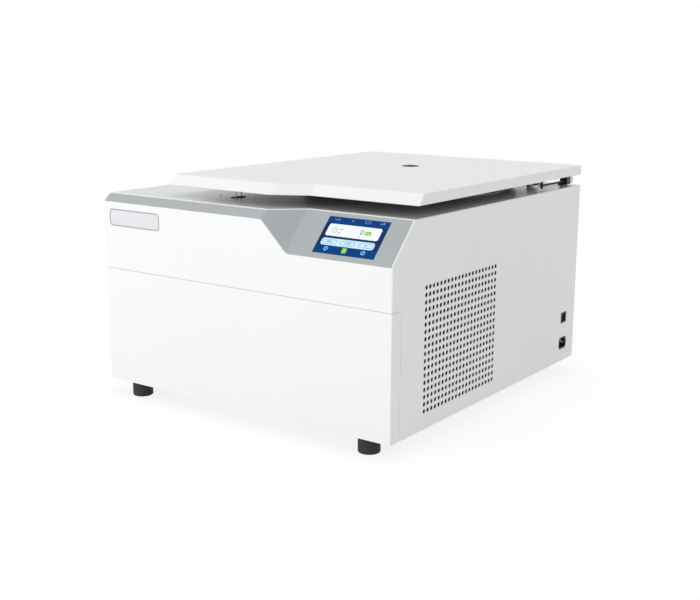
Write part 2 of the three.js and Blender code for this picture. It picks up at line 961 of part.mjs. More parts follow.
// The lid's plan: a step in its front edge follows the step in the cabinet's front edge.
function lidOutline(inset, lean) {
  const { front_left, front_right, step_right_space, step_length, kink_shift } = lid;
  const kink_left = cabinet.width - step_right_space;
  const kink_right = kink_left + step_length;
  const forward = (y) => y + lean + inset;
  const shift = lean ? kink_shift : 0;
  return [
    [lid_left + inset, forward(front_left)],
    [kink_left + shift - inset, forward(front_left)],
    [kink_right - shift - inset, forward(front_right)],
    [cabinet.width - inset, forward(front_right)],
    [cabinet.width - inset, cabinet.depth - inset],
    [lid_left + inset, cabinet.depth - inset],
  ];
}

function buildLid() {
  const { wall, front_lean, thickness, port_radius, port_flange, port_sight_radius, port_sides } = lid;
  const inside_top = lid_top - wall;
  const inside_lean = (front_lean * (thickness - wall)) / thickness;
  const outer = loft(lidOutline(0, 0), lid_underside, lidOutline(0, front_lean), lid_top);
  const inside = loft(lidOutline(wall, 0), lid_underside, lidOutline(wall, inside_lean), inside_top);
  const below = block(
    [lid_left + wall, cabinet.width - wall],
    [lid.front_right + wall, cabinet.depth - wall],
    [lid_underside - overrun, lid_underside + overrun],
  );
  const port_reach = [deck_top, lid_top + overrun];
  const sight_hole = prism("z", circle(port_sight_radius + seat, port_sides, chamber_axis), port_reach);
  const port_hole = prism("z", circle(port_radius + seat, port_sides, chamber_axis), port_reach);
  const mouth = loft(lidOutline(wall, 0), lid_underside - overrun, lidOutline(wall, 0), lid_underside);
  add("lid_shell", cut(outer, join(inside, mouth, below), port_hole), "white_paint");

  const plate_outline = lidOutline(wall + seat, wall + seat);
  add(
    "lid_inner_plate",
    cut(prism("z", plate_outline, [inner_plate_bottom, inner_plate_top]), sight_hole),
    "zinc_plate",
  );

  const armour_bottom = inner_plate_top + seat;
  const armour_z = [armour_bottom, armour_bottom + lid.armour_thickness];
  const armour = prism("z", circle(lid.armour_radius, chamber.sides, chamber_axis), armour_z);
  add("lid_armour_plate", cut(armour, sight_hole), "steel");

  const liner_z = [liner_bottom, inner_plate_bottom - seat];
  const liner = prism("z", circle(lid.liner_radius, chamber.sides, chamber_axis), liner_z);
  add("lid_liner", cut(liner, sight_hole), "liner_grey");

  const gasket_heights = [deck_top + chamber.wall + 2 * seat, liner_bottom - seat];
  add(
    "lid_gasket",
    ring(lid.gasket_inner, lid.gasket_outer, gasket_heights, chamber.sides, chamber_axis),
    "black_rubber",
  );

  const flange_bottom = lid_top - port_flange;
  const window_profile = [
    [0, liner_bottom],
    [port_sight_radius, liner_bottom],
    [port_sight_radius, flange_bottom],
    [port_radius, flange_bottom],
    [port_radius, lid_top],
    [0, lid_top],
  ];
  add("port_window", turned(window_profile, port_sides, chamber_axis), "black_plastic");
}

// Lid hinges
// A bracket on the deck carries a pin. The lid's arm turns on the pin. From the arm a leaf runs
// forward under the lid to the lug of the gas spring, and a rod to a stud.

function buildHinge(side) {
  const x = lid_sides[side];
  const arm_x = [x(hinge.arm_inset), x(hinge.arm_inset + hinge.arm_width)].sort((a, b) => a - b);
  const bracket_inset = hinge.arm_inset + hinge.arm_width + seat;
  const bracket_x = [x(bracket_inset), x(bracket_inset + hinge.bracket_width)].sort((a, b) => a - b);
  const pin_x = [Math.min(...arm_x, ...bracket_x), Math.max(...arm_x, ...bracket_x)];
  const axis = [hinge_y, hinge_z];
  const bore = circle(hinge.pin_radius + seat, hinge.sides, axis);
  const knuckle = circle(hinge.knuckle_radius, hinge.sides, axis);

  const bracket_foot = block(
    bracket_x,
    [hinge_y - hinge.bracket_foot_length, hinge_y + hinge.knuckle_radius],
    [deck_top + seat, deck_top + hinge.bracket_foot_height],
  );
  const bracket_web = block(bracket_x, around(hinge_y, hinge.bracket_length), [deck_top + seat, hinge_z]);
  const bracket = join(prism("x", knuckle, bracket_x), bracket_web, bracket_foot);
  add(`hinge_bracket_${side}`, cut(bracket, prism("x", bore, bracket_x)), "dark_metal");
  add(`hinge_pin_${side}`, prism("x", circle(hinge.pin_radius, hinge.sides, axis), pin_x), "stainless");

  const arm_top = inner_plate_bottom - seat;
  const arm_front = hinge_y - hinge.arm_length;
  const arm_block = block(arm_x, [arm_front, hinge_y], [hinge_z - hinge.knuckle_radius, arm_top]);
  const arm_axis = (arm_x[0] + arm_x[1]) / 2;
  const rod_front = hinge_y - hinge.rod_reach;
  const rod_place = [arm_axis, deck_top + hinge.rod_height];
  const rod_y = [rod_front, arm_front + overrun];
  const rod = prism("y", circle(hinge.rod_radius, latch.sides, rod_place), rod_y);
  const stud_heights = [deck_top + hinge.stud_clearance, arm_top];
  const stud = prism("z", circle(hinge.stud_radius, latch.sides, [arm_axis, rod_front]), stud_heights);
  const collar_heights = around(deck_top + hinge.rod_height, 2 * hinge.stud_collar_radius);
  const collar_outline = circle(hinge.stud_collar_radius, latch.sides, [arm_axis, rod_front]);
  const collar = prism("z", collar_outline, collar_heights);

  const spring_x = x(gas_spring.inset);
  const inward = Math.sign(spring_x - arm_axis);
  const tip_x = spring_x + inward * gas_spring.stud_tip;
  const lug_inner = spring_x - inward * (gas_spring.end_radius + gas_spring.lug_clearance);
  const lug_outer = lug_inner - inward * gas_spring.lug_thickness;
  const spring_place = [hinge_y - gas_spring.stud_reach, deck_top + gas_spring.stud_height];
  const spring_stud = prism(
    "x",
    circle(gas_spring.stud_radius, gas_spring.sides, spring_place),
    [lug_outer, tip_x].sort((a, b) => a - b),
  );
  const lug = block(
    [lug_outer, lug_inner],
    around(spring_place[0], 4 * gas_spring.stud_radius),
    [spring_place[1] - gas_spring.stud_radius, arm_top],
  );
  const leaf = block(
    [x(hinge.arm_inset), lug_inner],
    [spring_place[0] - 2 * gas_spring.stud_radius, arm_front + overrun],
    [arm_top - hinge.leaf_thickness, arm_top],
  );
  const arm = join(prism("x", knuckle, arm_x), arm_block, leaf, lug, rod, stud, collar, spring_stud);
  const arm_bore = prism("x", bore, [arm_x[0] - overrun, arm_x[1] + overrun]);
  add(`hinge_arm_${side}`, cut(arm, arm_bore), "dark_metal");
}

// Gas springs
// The tube swings on a stub at the bottom of the cabinet, and the rod rises through a slot in the
// deck and pushes up on the stud of the hinge arm.

function buildGasSpring(side) {
  const x = lid_sides[side];
  const spring_x = x(gas_spring.inset);
  const { foot_z, tube_radius, tube_length, rod_radius, sides: faces } = gas_spring;
  const foot_y = cabinet.depth - gas_spring.foot_rear_space;
  const top_y = hinge_y - gas_spring.stud_reach;
  const top_z = deck_top + gas_spring.stud_height;
  const length = Math.hypot(top_y - foot_y, top_z - foot_z);

  const holder = group([spring_x, foot_y, foot_z]);
  holder.rotation.x = Math.atan2(foot_y - top_y, top_z - foot_z);
  const eye_x = around(0, gas_spring.eye_width);
  const eye = prism("x", circle(gas_spring.eye_radius, faces), eye_x);
  const body = prism("z", circle(tube_radius, faces), [gas_spring.eye_neck, tube_length]);
  const bore_z = [tube_length - gas_spring.bore_depth, tube_length + overrun];
  const bore = prism("z", circle(rod_radius + seat, faces), bore_z);
  const eye_reach = around(0, 2 * tube_radius + overrun);
  const eye_bore = prism("x", circle(gas_spring.stud_radius + seat, faces), eye_reach);
  add(`gas_spring_tube_${side}`, cut(join(eye, body), bore, eye_bore), "dark_metal", holder);

  const rod_top = length - gas_spring.stud_radius - seat;
  const end_bottom = rod_top - gas_spring.end_length;
  const rod_bottom = tube_length - gas_spring.rod_inside;
  const rod = prism("z", circle(rod_radius, faces), [rod_bottom, rod_top]);
  const end = prism("z", circle(gas_spring.end_radius, faces), [end_bottom, rod_top]);
  add(`gas_spring_rod_${side}`, join(rod, end), "steel", holder);

  const outward = Math.sign(x(0) - spring_x);
  const plate_start = spring_x + outward * (gas_spring.tube_radius + seat);
  const plate_x = [plate_start, plate_start + outward * gas_spring.foot_plate_width];
  const upright = block(
    plate_x,
    around(foot_y, gas_spring.foot_plate_length),
    [base_top + seat, foot_z + gas_spring.eye_radius],
  );
  const stub_x = [spring_x - (outward * gas_spring.eye_width) / 2, plate_x[1]].sort((a, b) => a - b);
  const stub = prism("x", circle(gas_spring.stud_radius, faces, [foot_y, foot_z]), stub_x);
  add(`gas_spring_foot_${side}`, join(upright, stub), "zinc_plate");
}

// Lid latch
// A wire loop under the lid drops through a slot in the deck, where the hook can close over it.

function buildLatch() {
  const { x, y, wire_radius, leg_offset, bar_drop, sides: faces } = latch;
  const bar_z = deck_top - bar_drop;
  const flange_top = inner_plate_bottom - seat;
  const flange_bottom = flange_top - latch.flange_thickness;
  const flange_z = [flange_bottom, flange_top];
  const flange = block(around(x, latch.flange_width), around(y, latch.flange_length), flange_z);
  const legs = [y - leg_offset, y + leg_offset].map((leg_y) =>
    prism("z", circle(wire_radius, faces, [x, leg_y]), [bar_z, flange_top]),
  );
  const bar_y = [y - leg_offset - wire_radius, y + leg_offset + wire_radius];
  const bar = prism("y", circle(wire_radius, faces, [x, bar_z]), bar_y);
  add("latch_striker", join(flange, ...legs, bar), "dark_metal");

  const frame_top = deck_underside - seat;
  const frame_bottom = deck_top - latch.frame_drop;
  const half = latch.frame_half_width;
  const frame_x = [latch.frame_left, latch.frame_right];
  const frame_block = block(frame_x, [y - half, y + half], [frame_bottom, frame_top]);
  const frame_inside = block(
    [latch.frame_left - overrun, latch.frame_right + overrun],
    [y - half + latch.frame_sheet, y + half - latch.frame_sheet],
    [frame_bottom - overrun, frame_top - latch.frame_sheet],
  );
  const frame_slot = block(
    around(x, latch.slot_width),
    around(y, latch.slot_length - 2 * seat),
    [frame_top - overrun, frame_top + overrun],
  );
  const pivot = [x + latch.pivot_dx, deck_top - latch.pivot_drop];
  const pivot_pin = prism("y", circle(latch.pivot_radius, faces, pivot), [y - half, y + half]);
  add("latch_frame", join(cut(frame_block, frame_inside, frame_slot), pivot_pin), "zinc_plate");

  const holder = group([pivot[0], y, pivot[1]]);
  holder.rotation.y = radians(latch.release_angle);
  const finger_bottom = latch.pivot_drop - bar_drop + wire_radius + seat;
  const finger_top = finger_bottom + latch.finger_height;
  const tip = -latch.pivot_dx - latch.finger_reach;
  const neck_left = wire_radius + 2 * seat - latch.pivot_dx;
  const outline = [
    [tip, finger_bottom],
    [neck_left, finger_bottom],
    [-latch.hook_boss_radius, 0],
    [0, -latch.hook_boss_radius],
    [latch.hook_boss_radius, 0],
    [neck_left + latch.hook_neck_width, finger_bottom],
    [neck_left + latch.hook_neck_width, finger_top],
    [tip, finger_top],
  ];
  const hook_y = around(0, latch.hook_thickness);
  const hook_bore = prism("y", circle(latch.pivot_radius + seat, faces), [-overrun, overrun]);
  add("latch_hook", cut(prism("y", outline, hook_y), hook_bore), "steel", holder);

  const motor_left = latch.frame_right - latch.motor_inside;
  const motor_x = [motor_left, motor_left + latch.motor_length];
  const motor_top = deck_top - latch.motor_drop;
  const motor_z = [motor_top - latch.motor_height, motor_top];
  const motor_half = half - latch.frame_sheet - seat;
  const motor_y = [y - motor_half, y + motor_half];
  add("latch_motor", block(motor_x, motor_y, motor_z), "black_plastic");
}

// Mains inlet and power switch

function buildPower() {
  const face = sides.right;
  const flange_outline = rectangle(around(inlet_y, inlet.width), around(inlet.z, inlet.height));
  const flange = prism("x", rounded(flange_outline, inlet.corner), [face(inlet.flange), face(0)]);
  const body_x = [face(0), face(inlet.depth)];
  const body = block(body_x, around(inlet_y, inlet.body_width), around(inlet.z, inlet.body_height));
  const socket = block(
    [face(-overrun), face(inlet.socket_depth)],
    around(inlet_y, inlet.socket_width),
    around(inlet.z, inlet.socket_height),
  );
  const pins = [
    [-inlet.pin_spacing / 2, 0],
    [0, inlet.earth_shift],
    [inlet.pin_spacing / 2, 0],
  ].map(([dy, dz]) =>
    block(
      [face(inlet.socket_depth + seat), face(inlet.socket_depth - inlet.pin_length)],
      around(inlet_y + dy, inlet.pin_width),
      around(inlet.z + dz, inlet.pin_height),
    ),
  );
  add("mains_inlet", join(cut(join(flange, body), socket), ...pins), "black_plastic");

  const frame_flange = block(
    [face(0), face(rocker.flange)],
    around(rocker_y, rocker.width),
    around(rocker.z, rocker.height),
  );
  const frame_body = block(
    [face(0), face(rocker.depth)],
    around(rocker_y, rocker.body_width),
    around(rocker.z, rocker.body_height),
  );
  const pocket = block(
    [face(-overrun), face(rocker.pocket_depth)],
    around(rocker_y, rocker.pocket_width),
    around(rocker.z, rocker.pocket_height),
  );
  const pivot_x = face(rocker.pivot_depth);
  const spindle = prism(
    "y",
    circle(rocker.pivot_radius, rocker.sides, [pivot_x, rocker.z]),
    around(rocker_y, rocker.body_width),
  );
  add("switch_frame", join(cut(join(frame_flange, frame_body), pocket), spindle), "black_plastic");

  const holder = group([pivot_x, rocker_y, rocker.z]);
  holder.rotation.y = radians(rocker.tilt);
  const half = rocker.paddle_height / 2;
  const front = rocker.paddle_depth / 2;
  const outline = [[-front, -half], [front, -half], [front / 2, 0], [front, half], [-front, half]];
  const paddle = prism("y", outline, around(0, rocker.paddle_width));
  const bore_outline = circle(rocker.pivot_radius + seat, rocker.sides);
  const paddle_bore = prism("y", bore_outline, around(0, rocker.width));
  add("power_rocker", cut(paddle, paddle_bore), "black_plastic", holder);
}

// Refrigeration

function buildRefrigeration() {
  const { x, y, radius, height, shoulder, sides: faces } = compressor;
  const leg_top = base_top + seat + compressor.leg_height;
  const plate_top = leg_top + compressor.foot_thickness;
  const top = plate_top + height;
  const waist_low = plate_top + compressor.waist;
  const waist_high = waist_low + compressor.waist_height;
  const pot = rounded(
    [
      [0, plate_top - compressor.foot_thickness],
      [radius, plate_top - compressor.foot_thickness],
      [radius, waist_low],
      [compressor.waist_radius, waist_low],
      [compressor.waist_radius, waist_high],
      [radius, waist_high],
      [radius, top],
      [0, top],
    ],
    [0, 0, 0, 0, 0, 0, shoulder, 0],
  );
  const feet_plate = block(
    around(x, compressor.foot_width),
    around(y, compressor.foot_length),
    [leg_top, plate_top],
  );
  const leg_x = compressor.foot_width / 2 - compressor.leg_inset;
  const leg_y = compressor.foot_length / 2 - compressor.leg_inset;
  const legs = rectangle([x - leg_x, x + leg_x], [y - leg_y, y + leg_y]).map((place) =>
    prism("z", circle(compressor.leg_radius, latch.sides, place), [base_top + seat, plate_top]),
  );
  const port_outline = circle(compressor.port_radius, latch.sides, [y, compressor.port_z]);
  const port = prism("x", port_outline, [x, x + compressor.port_reach]);
  add("compressor", join(turned(pot, faces, [x, y]), feet_plate, ...legs, port), "dark_metal");

  const core_right = cabinet.width - cabinet.sheet - condenser.inset;
  const core_left = core_right - condenser.thickness;
  const fan_rear = behindFan(core_left - seat - fan.thickness);
  const core_length = fan_rear + condenser.behind_fan - condenser.front;
  const core_y = [condenser.front, condenser.front + core_length];
  const core_z = [base_top + seat, base_top + seat + condenser.height];
  const fin_pitch = (core_length - 2 * condenser.end_wall) / condenser.fins;
  const grooves = repeat(condenser.fins, (i) => {
    const middle = condenser.front + condenser.end_wall + (i + 0.5) * fin_pitch;
    const groove_y = around(middle, condenser.fin_gap);
    const groove_z = [core_z[0] + condenser.end_wall, core_z[1] - condenser.end_wall];
    return [[core_right - condenser.fin_depth, core_right + overrun], groove_y, groove_z];
  });
  add("condenser", cut(block([core_left, core_right], core_y, core_z), blocks(grooves)), "aluminium");

  buildFan(core_left - seat, fan_rear);

  const start = [x + compressor.port_reach + seat, y, compressor.port_z];
  const entry_x = (core_left + core_right) / 2;
  const { run_y, run_z, drop_x } = pipe;
  const route = [
    start,
    [drop_x, y, compressor.port_z],
    [drop_x + y - run_y, run_y, run_z],
    [entry_x - pipe.entry_run, run_y, run_z],
    [entry_x, run_y, run_z],
    [entry_x, (run_y + condenser.front) / 2, run_z],
    [entry_x, condenser.front - seat, run_z],
  ];
  const curve = new THREE.CurvePath();
  const points = route.map((place) => new THREE.Vector3(...place));
  curve.add(new THREE.LineCurve3(points[0], points[1]));
  curve.add(new THREE.CubicBezierCurve3(points[1], midpoint(points[1], points[2]), points[2], points[3]));
  curve.add(new THREE.QuadraticBezierCurve3(points[3], points[4], points[5]));
  curve.add(new THREE.LineCurve3(points[5], points[6]));
  const section = new THREE.Shape(circle(pipe.radius, pipe.sides).map(([u, v]) => new THREE.Vector2(u, v)));
  const sweep = { steps: pipe.steps, extrudePath: curve, bevelEnabled: false };
  const tube = new THREE.ExtrudeGeometry(section, sweep);
  add("discharge_pipe", toSolid(tube), "copper");
}

function midpoint(a, b) {
  return a.clone().add(new THREE.Vector3(b.x, a.y, a.z)).multiplyScalar(0.5);
}

// Where the guard barrel leaves room for the fan's rear side, at the fan's left face.
function behindFan(left) {
  const across = left - chamber_axis[0];
  return chamber_axis[1] - Math.sqrt(barrel_outer ** 2 - across ** 2) - fan.barrel_space;
}

function buildFan(right, rear) {
  const left = right - fan.thickness;
  const bore_radius = fan.size / 2 - fan.rim;
  const centre = [rear - fan.size / 2, fan.z];
  const frame = block([left, right], [rear - fan.size, rear], around(fan.z, fan.size));
  const bore = prism("x", circle(bore_radius, fan.sides, centre), [left - overrun, right + overrun]);
  const motor_right = left + fan.motor_depth;
  const cup = prism("x", circle(fan.motor_radius, fan.sides, centre), [left, motor_right]);
  const spokes = repeat(fan.spokes, (i) => {
    const spoke_x = [left, left + fan.spoke_depth];
    const spoke = boxGeometry(spoke_x, around(0, fan.spoke_width), [0, bore_radius + fan.rim / 2]);
    return toSolid(spoke.rotateX((2 * Math.PI * i) / fan.spokes).translate(0, ...centre));
  });
  const hub_left = motor_right + seat;
  const hub_right = hub_left + fan.hub_length;
  const spindle = prism("x", circle(fan.spindle_radius, latch.sides, centre), [left, hub_right]);
  add("fan_frame", join(cut(frame, bore), cup, ...spokes, spindle), "black_plastic");

  const holder = group([(hub_left + hub_right) / 2, ...centre]);
  const half = fan.hub_length / 2;
  const hub = prism("x", circle(fan.hub_radius, fan.sides), [-half, half]);
  const hub_reach = [-half - overrun, half + overrun];
  const hub_bore = prism("x", circle(fan.spindle_radius + seat, latch.sides), hub_reach);
  const blade_reach = bore_radius - fan.tip_clearance;
  const blades = repeat(fan.blades, (i) => {
    const blade = boxGeometry(
      around(0, fan.blade_thickness),
      around(0, fan.blade_width),
      [fan.hub_radius - overrun, blade_reach],
    );
    const pitched = blade.rotateZ(radians(fan.blade_pitch));
    return toSolid(pitched.rotateX((2 * Math.PI * i) / fan.blades));
  });
  add("fan_blades", cut(join(hub, ...blades), hub_bore), "black_plastic", holder);
}

// Drive controller

function buildController() {
  const { left, front, length, height, fins, fin_gap, fin_depth, end_wall } = controller;
  const right = chamber_axis[0] - barrel_outer - controller.barrel_space;
  const bottom = base_top + seat;
  const top = bottom + height;
  const pitch = (length - 2 * end_wall) / fins;
  const grooves = repeat(fins, (i) => {
    const groove_y = around(front + end_wall + (i + 0.5) * pitch, fin_gap);
    return [[left - overrun, right + overrun], groove_y, [top - fin_depth, top + overrun]];
  });
  const box = block([left, right], [front, front + length], [bottom, top]);
  add("drive_controller", cut(box, blocks(grooves)), "aluminium");
}

buildCabinet();
buildDeck();
buildFeet();
buildFrontEdge();
buildChamber();
buildDrive();
buildLid();
for (const side of Object.keys(lid_sides)) {
  buildHinge(side);
  buildGasSpring(side);
}
buildLatch();
buildPower();
buildRefrigeration();
buildController();

model.position.set(-cabinet.width / 2, -cabinet.depth / 2, foot.height);
const centrifuge = new THREE.Group();
centrifuge.add(model);

export default centrifuge;
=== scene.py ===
import math

import bmesh
import bpy
from mathutils import Matrix, Vector
from mathutils.geometry import delaunay_2d_cdt


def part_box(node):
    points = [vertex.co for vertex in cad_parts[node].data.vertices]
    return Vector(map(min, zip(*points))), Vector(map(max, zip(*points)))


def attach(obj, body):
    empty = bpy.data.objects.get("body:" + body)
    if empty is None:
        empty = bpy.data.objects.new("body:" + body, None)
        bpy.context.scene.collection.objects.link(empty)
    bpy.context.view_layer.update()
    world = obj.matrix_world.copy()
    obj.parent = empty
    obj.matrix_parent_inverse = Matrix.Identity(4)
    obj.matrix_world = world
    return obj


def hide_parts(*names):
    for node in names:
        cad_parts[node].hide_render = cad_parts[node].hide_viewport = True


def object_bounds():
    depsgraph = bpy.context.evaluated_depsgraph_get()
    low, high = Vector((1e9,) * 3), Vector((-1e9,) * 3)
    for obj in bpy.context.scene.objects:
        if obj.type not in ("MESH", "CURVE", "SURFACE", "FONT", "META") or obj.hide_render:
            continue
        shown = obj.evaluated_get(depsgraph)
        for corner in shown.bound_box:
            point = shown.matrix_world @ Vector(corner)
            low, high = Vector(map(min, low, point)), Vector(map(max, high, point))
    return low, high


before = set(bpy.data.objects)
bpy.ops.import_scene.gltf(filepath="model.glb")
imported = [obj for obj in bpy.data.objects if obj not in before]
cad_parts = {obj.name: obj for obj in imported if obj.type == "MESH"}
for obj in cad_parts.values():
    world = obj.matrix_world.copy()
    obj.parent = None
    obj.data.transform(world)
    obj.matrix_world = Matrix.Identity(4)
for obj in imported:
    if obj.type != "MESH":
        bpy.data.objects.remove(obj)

cad_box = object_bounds()

# Sizes and places

# Shapes are lists of points and faces in millimetres, measured from the cabinet's lower front left
# corner: X right, Y back, Z up. They are moved to the row frame, in metres, as each piece is made.


def millimetres(metres):
    return round(metres * 1000, 2)


WIDTH, DEPTH = [millimetres(high - low) for low, high in zip(*cad_box)][:2]
FOOT = millimetres(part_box("base_plate")[0].z)
HEIGHT = millimetres(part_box("top_deck")[1].z) - FOOT


def to_row(x, y, z):
    return Vector(((x - WIDTH / 2) / 1000, (y - DEPTH / 2) / 1000, (z + FOOT) / 1000))


def cad_ends(node):
    """A CAD node's lowest and highest corners, in the cabinet's millimetres."""
    shift = (WIDTH / 2, DEPTH / 2, -FOOT)
    return [[round(v * 1000 + move, 2) for v, move in zip(corner, shift)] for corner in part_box(node)]


def cad_middle(node):
    return [(low + high) / 2 for low, high in zip(*cad_ends(node))]


SIDES = ("left", "right")
CHAMBER = tuple(cad_middle("chamber_bowl")[:2])
SEAM = cad_ends("lower_front_cover")[1][2]

# The sheet metal: its thickness, the width and rounding of its folded top edges, the bends at the
# front and rear corners, how far it turns in behind them, and the gaps at the seam and the deck.
SHEET = 1.2
HEM = 2.4
RIM = 1.6
BEND = 2.0
REAR_BEND = 2.6
REAR_RETURN = 24.0
COVER_RETURN = 23.0
GAP = 0.5
EDGE = HEM + 0.3

# The front edge: a low bevel on the left, a steep slope on the right, and between them, from
# BEVEL_END to SLOPE_START, a cheek with creases of radius CREASE. The moulding on it is WALL thick,
# its edge on the front face is LIP deep, and it ends LEDGE from the deck's height. A white strip
# behind it stands LINE above the deck: partly the sheet's folded edge, partly a painted highlight
# along the moulding's top edge. At the left end the bevel's foot and the rim are cut short.
BEVEL_DROP, BEVEL_RUN = 12.0, 13.0
SLOPE_DROP, SLOPE_RUN = 59.0, 56.0
BEVEL_END, SLOPE_START, CREASE_SHIFT = 339.0, 387.0, 1.2
BEVEL_FOOT, RIM_START = 304.9, 17.7
CREASE = 14.0
WALL = 3.0
LIP = 1.0
LEDGE = -1.2
LINE = 0.3

# Outlines


def span(middle, size):
    return (middle - size / 2, middle + size / 2)


def rectangle(us, vs):
    return [(us[0], vs[0]), (us[1], vs[0]), (us[1], vs[1]), (us[0], vs[1])]


def panel(u, v, width, height, corner, steps):
    """A rectangle with round corners, from its middle and its size."""
    return rounded(rectangle(span(u, width), span(v, height)), corner, steps)


def circle(radius, sides, centre=(0.0, 0.0)):
    turns = [2 * math.pi * i / sides for i in range(sides)]
    return [(centre[0] + radius * math.cos(a), centre[1] + radius * math.sin(a)) for a in turns]


def arc(centre, radius, start, end, steps):
    """Points on a round stretch between two angles in degrees."""
    turns = [math.radians(start + (end - start) * k / steps) for k in range(steps + 1)]
    return [(centre[0] + radius * math.cos(a), centre[1] + radius * math.sin(a)) for a in turns]


def rounded(outline, radii, steps=5):
    """An outline with its corners rounded, by one radius or one for each."""
    points = []
    for i, corner in enumerate(outline):
        radius = radii[i] if isinstance(radii, (list, tuple)) else radii
        here = Vector(corner)
        if not radius:
            points.append(here)
            continue
        back = (Vector(outline[i - 1]) - here).normalized()
        ahead = (Vector(outline[(i + 1) % len(outline)]) - here).normalized()
        half = back.angle(ahead) / 2
        centre = here + (back + ahead).normalized() * (radius / math.sin(half))
        start = here + back * (radius / math.tan(half)) - centre
        end = here + ahead * (radius / math.tan(half)) - centre
        turn = math.atan2(start.x * end.y - start.y * end.x, start.dot(end))
        for k in range(steps + 1):
            c, s = math.cos(turn * k / steps), math.sin(turn * k / steps)
            points.append((centre.x + c * start.x - s * start.y, centre.y + s * start.x + c * start.y))
    return points


def area(outline):
    pairs = zip(outline, outline[1:] + outline[:1])
    return sum(p[0] * q[1] - p[1] * q[0] for p, q in pairs) / 2


def turning(outline, way=1):
    """An outline run counter-clockwise for a way of 1, clockwise for -1."""
    return list(outline) if area(outline) * way > 0 else outline[::-1]


def inset(outline, distance):
    """A counter-clockwise outline moved inwards, or a clockwise one outwards."""
    if not distance:
        return list(outline)
    points = []
    for i, point in enumerate(outline):
        here = Vector(point)
        back = (here - Vector(outline[i - 1])).normalized()
        ahead = (Vector(outline[(i + 1) % len(outline)]) - here).normalized()
        a, b = Vector((-back.y, back.x)), Vector((-ahead.y, ahead.x))
        points.append(here + (a + b) * (distance / (1 + a.dot(b))))
    return points


def fill(loops):
    """Triangles between an outline, the first loop, and its holes."""
    points = [Vector(p) for loop in loops for p in loop]
    rings, start = [], 0
    for loop in loops:
        rings.append(list(range(start, start + len(loop))))
        start += len(loop)
    rings = [ring if area(loop) > 0 else ring[::-1] for ring, loop in zip(rings, loops)]
    places, _, faces, _, _, origins = delaunay_2d_cdt(points, [], rings, 1, 1e-6)
    kept = [face for face, origin in zip(faces, origins) if list(origin) == [0]]
    return places, kept


# Shapes


def merge(*shapes):
    points, faces = [], []
    for some_points, some_faces in shapes:
        start = len(points)
        points += some_points
        faces += [[start + i for i in face] for face in some_faces]
    return points, faces


def lift(axis, u, v, w):
    """An outline's point, at a place along the axis that it lies across."""
    return {"x": (w, u, v), "y": (u, w, v), "z": (u, v, w)}[axis]


def bridge(rows, closed=True):
    """Faces between rows of equally many points."""
    count = len(rows[0])
    points = [p for row in rows for p in row]
    faces = []
    for r in range(len(rows) - 1):
        for i in range(count if closed else count - 1):
            j = (i + 1) % count
            faces.append([r * count + i, r * count + j, (r + 1) * count + j, (r + 1) * count + i])
    return points, faces


def flat(axis, outline, w, holes=()):
    """A face across an axis, with holes."""
    loops = [turning(outline)] + [turning(hole, -1) for hole in holes]
    places, faces = fill(loops)
    return [lift(axis, u, v, w) for u, v in places], faces


def slab(axis, outline, ends, top=0.0, bottom=0.0, holes=(), steps=3):
    """A plate across an axis, with its edges rounded to two radii."""
    low, high = ends
    loops = [turning(outline)] + [turning(hole, -1) for hole in holes]
    angles = [math.pi / 2 * k / steps for k in range(steps + 1)]
    levels = [(bottom * (1 - math.sin(a)), low + bottom * (1 - math.cos(a))) for a in angles]
    levels += [(top * (1 - math.cos(a)), high - top * (1 - math.sin(a))) for a in angles]
    levels = [level for i, level in enumerate(levels) if i == 0 or level != levels[i - 1]]
    shapes = [
        bridge([[lift(axis, u, v, w) for u, v in inset(loop, move)] for move, w in levels])
        for loop in loops
    ]
    for move, w in (levels[0], levels[-1]):
        outer, *inner = [inset(loop, move) for loop in loops]
        shapes.append(flat(axis, outer, w, inner))
    return merge(*shapes)


def turned(corners, radii, steps, centre=(0.0, 0.0), sides=64, axis="z"):
    """A closed outline of radius and height with its corners rounded, turned round an axis."""
    profile = rounded(corners, radii, steps)
    rows = []
    for radius, height in [*profile, profile[0]]:
        rows.append([lift(axis, u, v, height) for u, v in circle(radius, sides, centre)])
    return bridge(rows)


def rod(axis, centre, radius, ends, edge=0.4, sides=24):
    return turned(rectangle((0, radius), ends), [0, edge, edge, 0], 3, centre, sides, axis)


def wire(path, radius, bend, sides=14, steps=6):
    """A round wire along a path of points, with its corners bent to a radius."""
    points = [Vector(path[0])]
    for before, corner, after in zip(path, path[1:], path[2:]):
        corner = Vector(corner)
        back, ahead = (Vector(before) - corner).normalized(), (Vector(after) - corner).normalized()
        half = back.angle(ahead) / 2
        reach = bend / math.tan(half)
        start, end = corner + back * reach, corner + ahead * reach
        centre = corner + (back + ahead).normalized() * (bend / math.sin(half))
        for k in range(steps + 1):
            points.append(centre + (start - centre).slerp(end - centre, k / steps) * bend)
    points.append(Vector(path[-1]))
    rows, across = [], Vector((1, 0, 0))
    for i, point in enumerate(points):
        along = (points[min(i + 1, len(points) - 1)] - points[max(i - 1, 0)]).normalized()
        across = (across - along * across.dot(along)).normalized()
        other = along.cross(across)
        rows.append([point + across * u + other * v for u, v in circle(radius, sides)])
    return bridge([[points[0]] * sides, *rows, [points[-1]] * sides])


def moved(shape, matrix):
    points, faces = shape
    return [matrix @ Vector(p) for p in points], faces


def shifted(x=0.0, y=0.0, z=0.0, axis="Z", angle=0.0):
    return Matrix.Translation((x, y, z)) @ Matrix.Rotation(angle, 4, axis)


# Materials


def connect(tree, node, *given, **named):
    """Links a node's inputs, in order or by name, to sockets, or sets them to values."""
    pairs = [*zip(node.inputs, given), *[(node.inputs[k.replace("_", " ")], v) for k, v in named.items()]]
    for socket, value in pairs:
        if isinstance(value, bpy.types.NodeSocket):
            tree.links.new(value, socket)
        else:
            socket.default_value = value
    return node


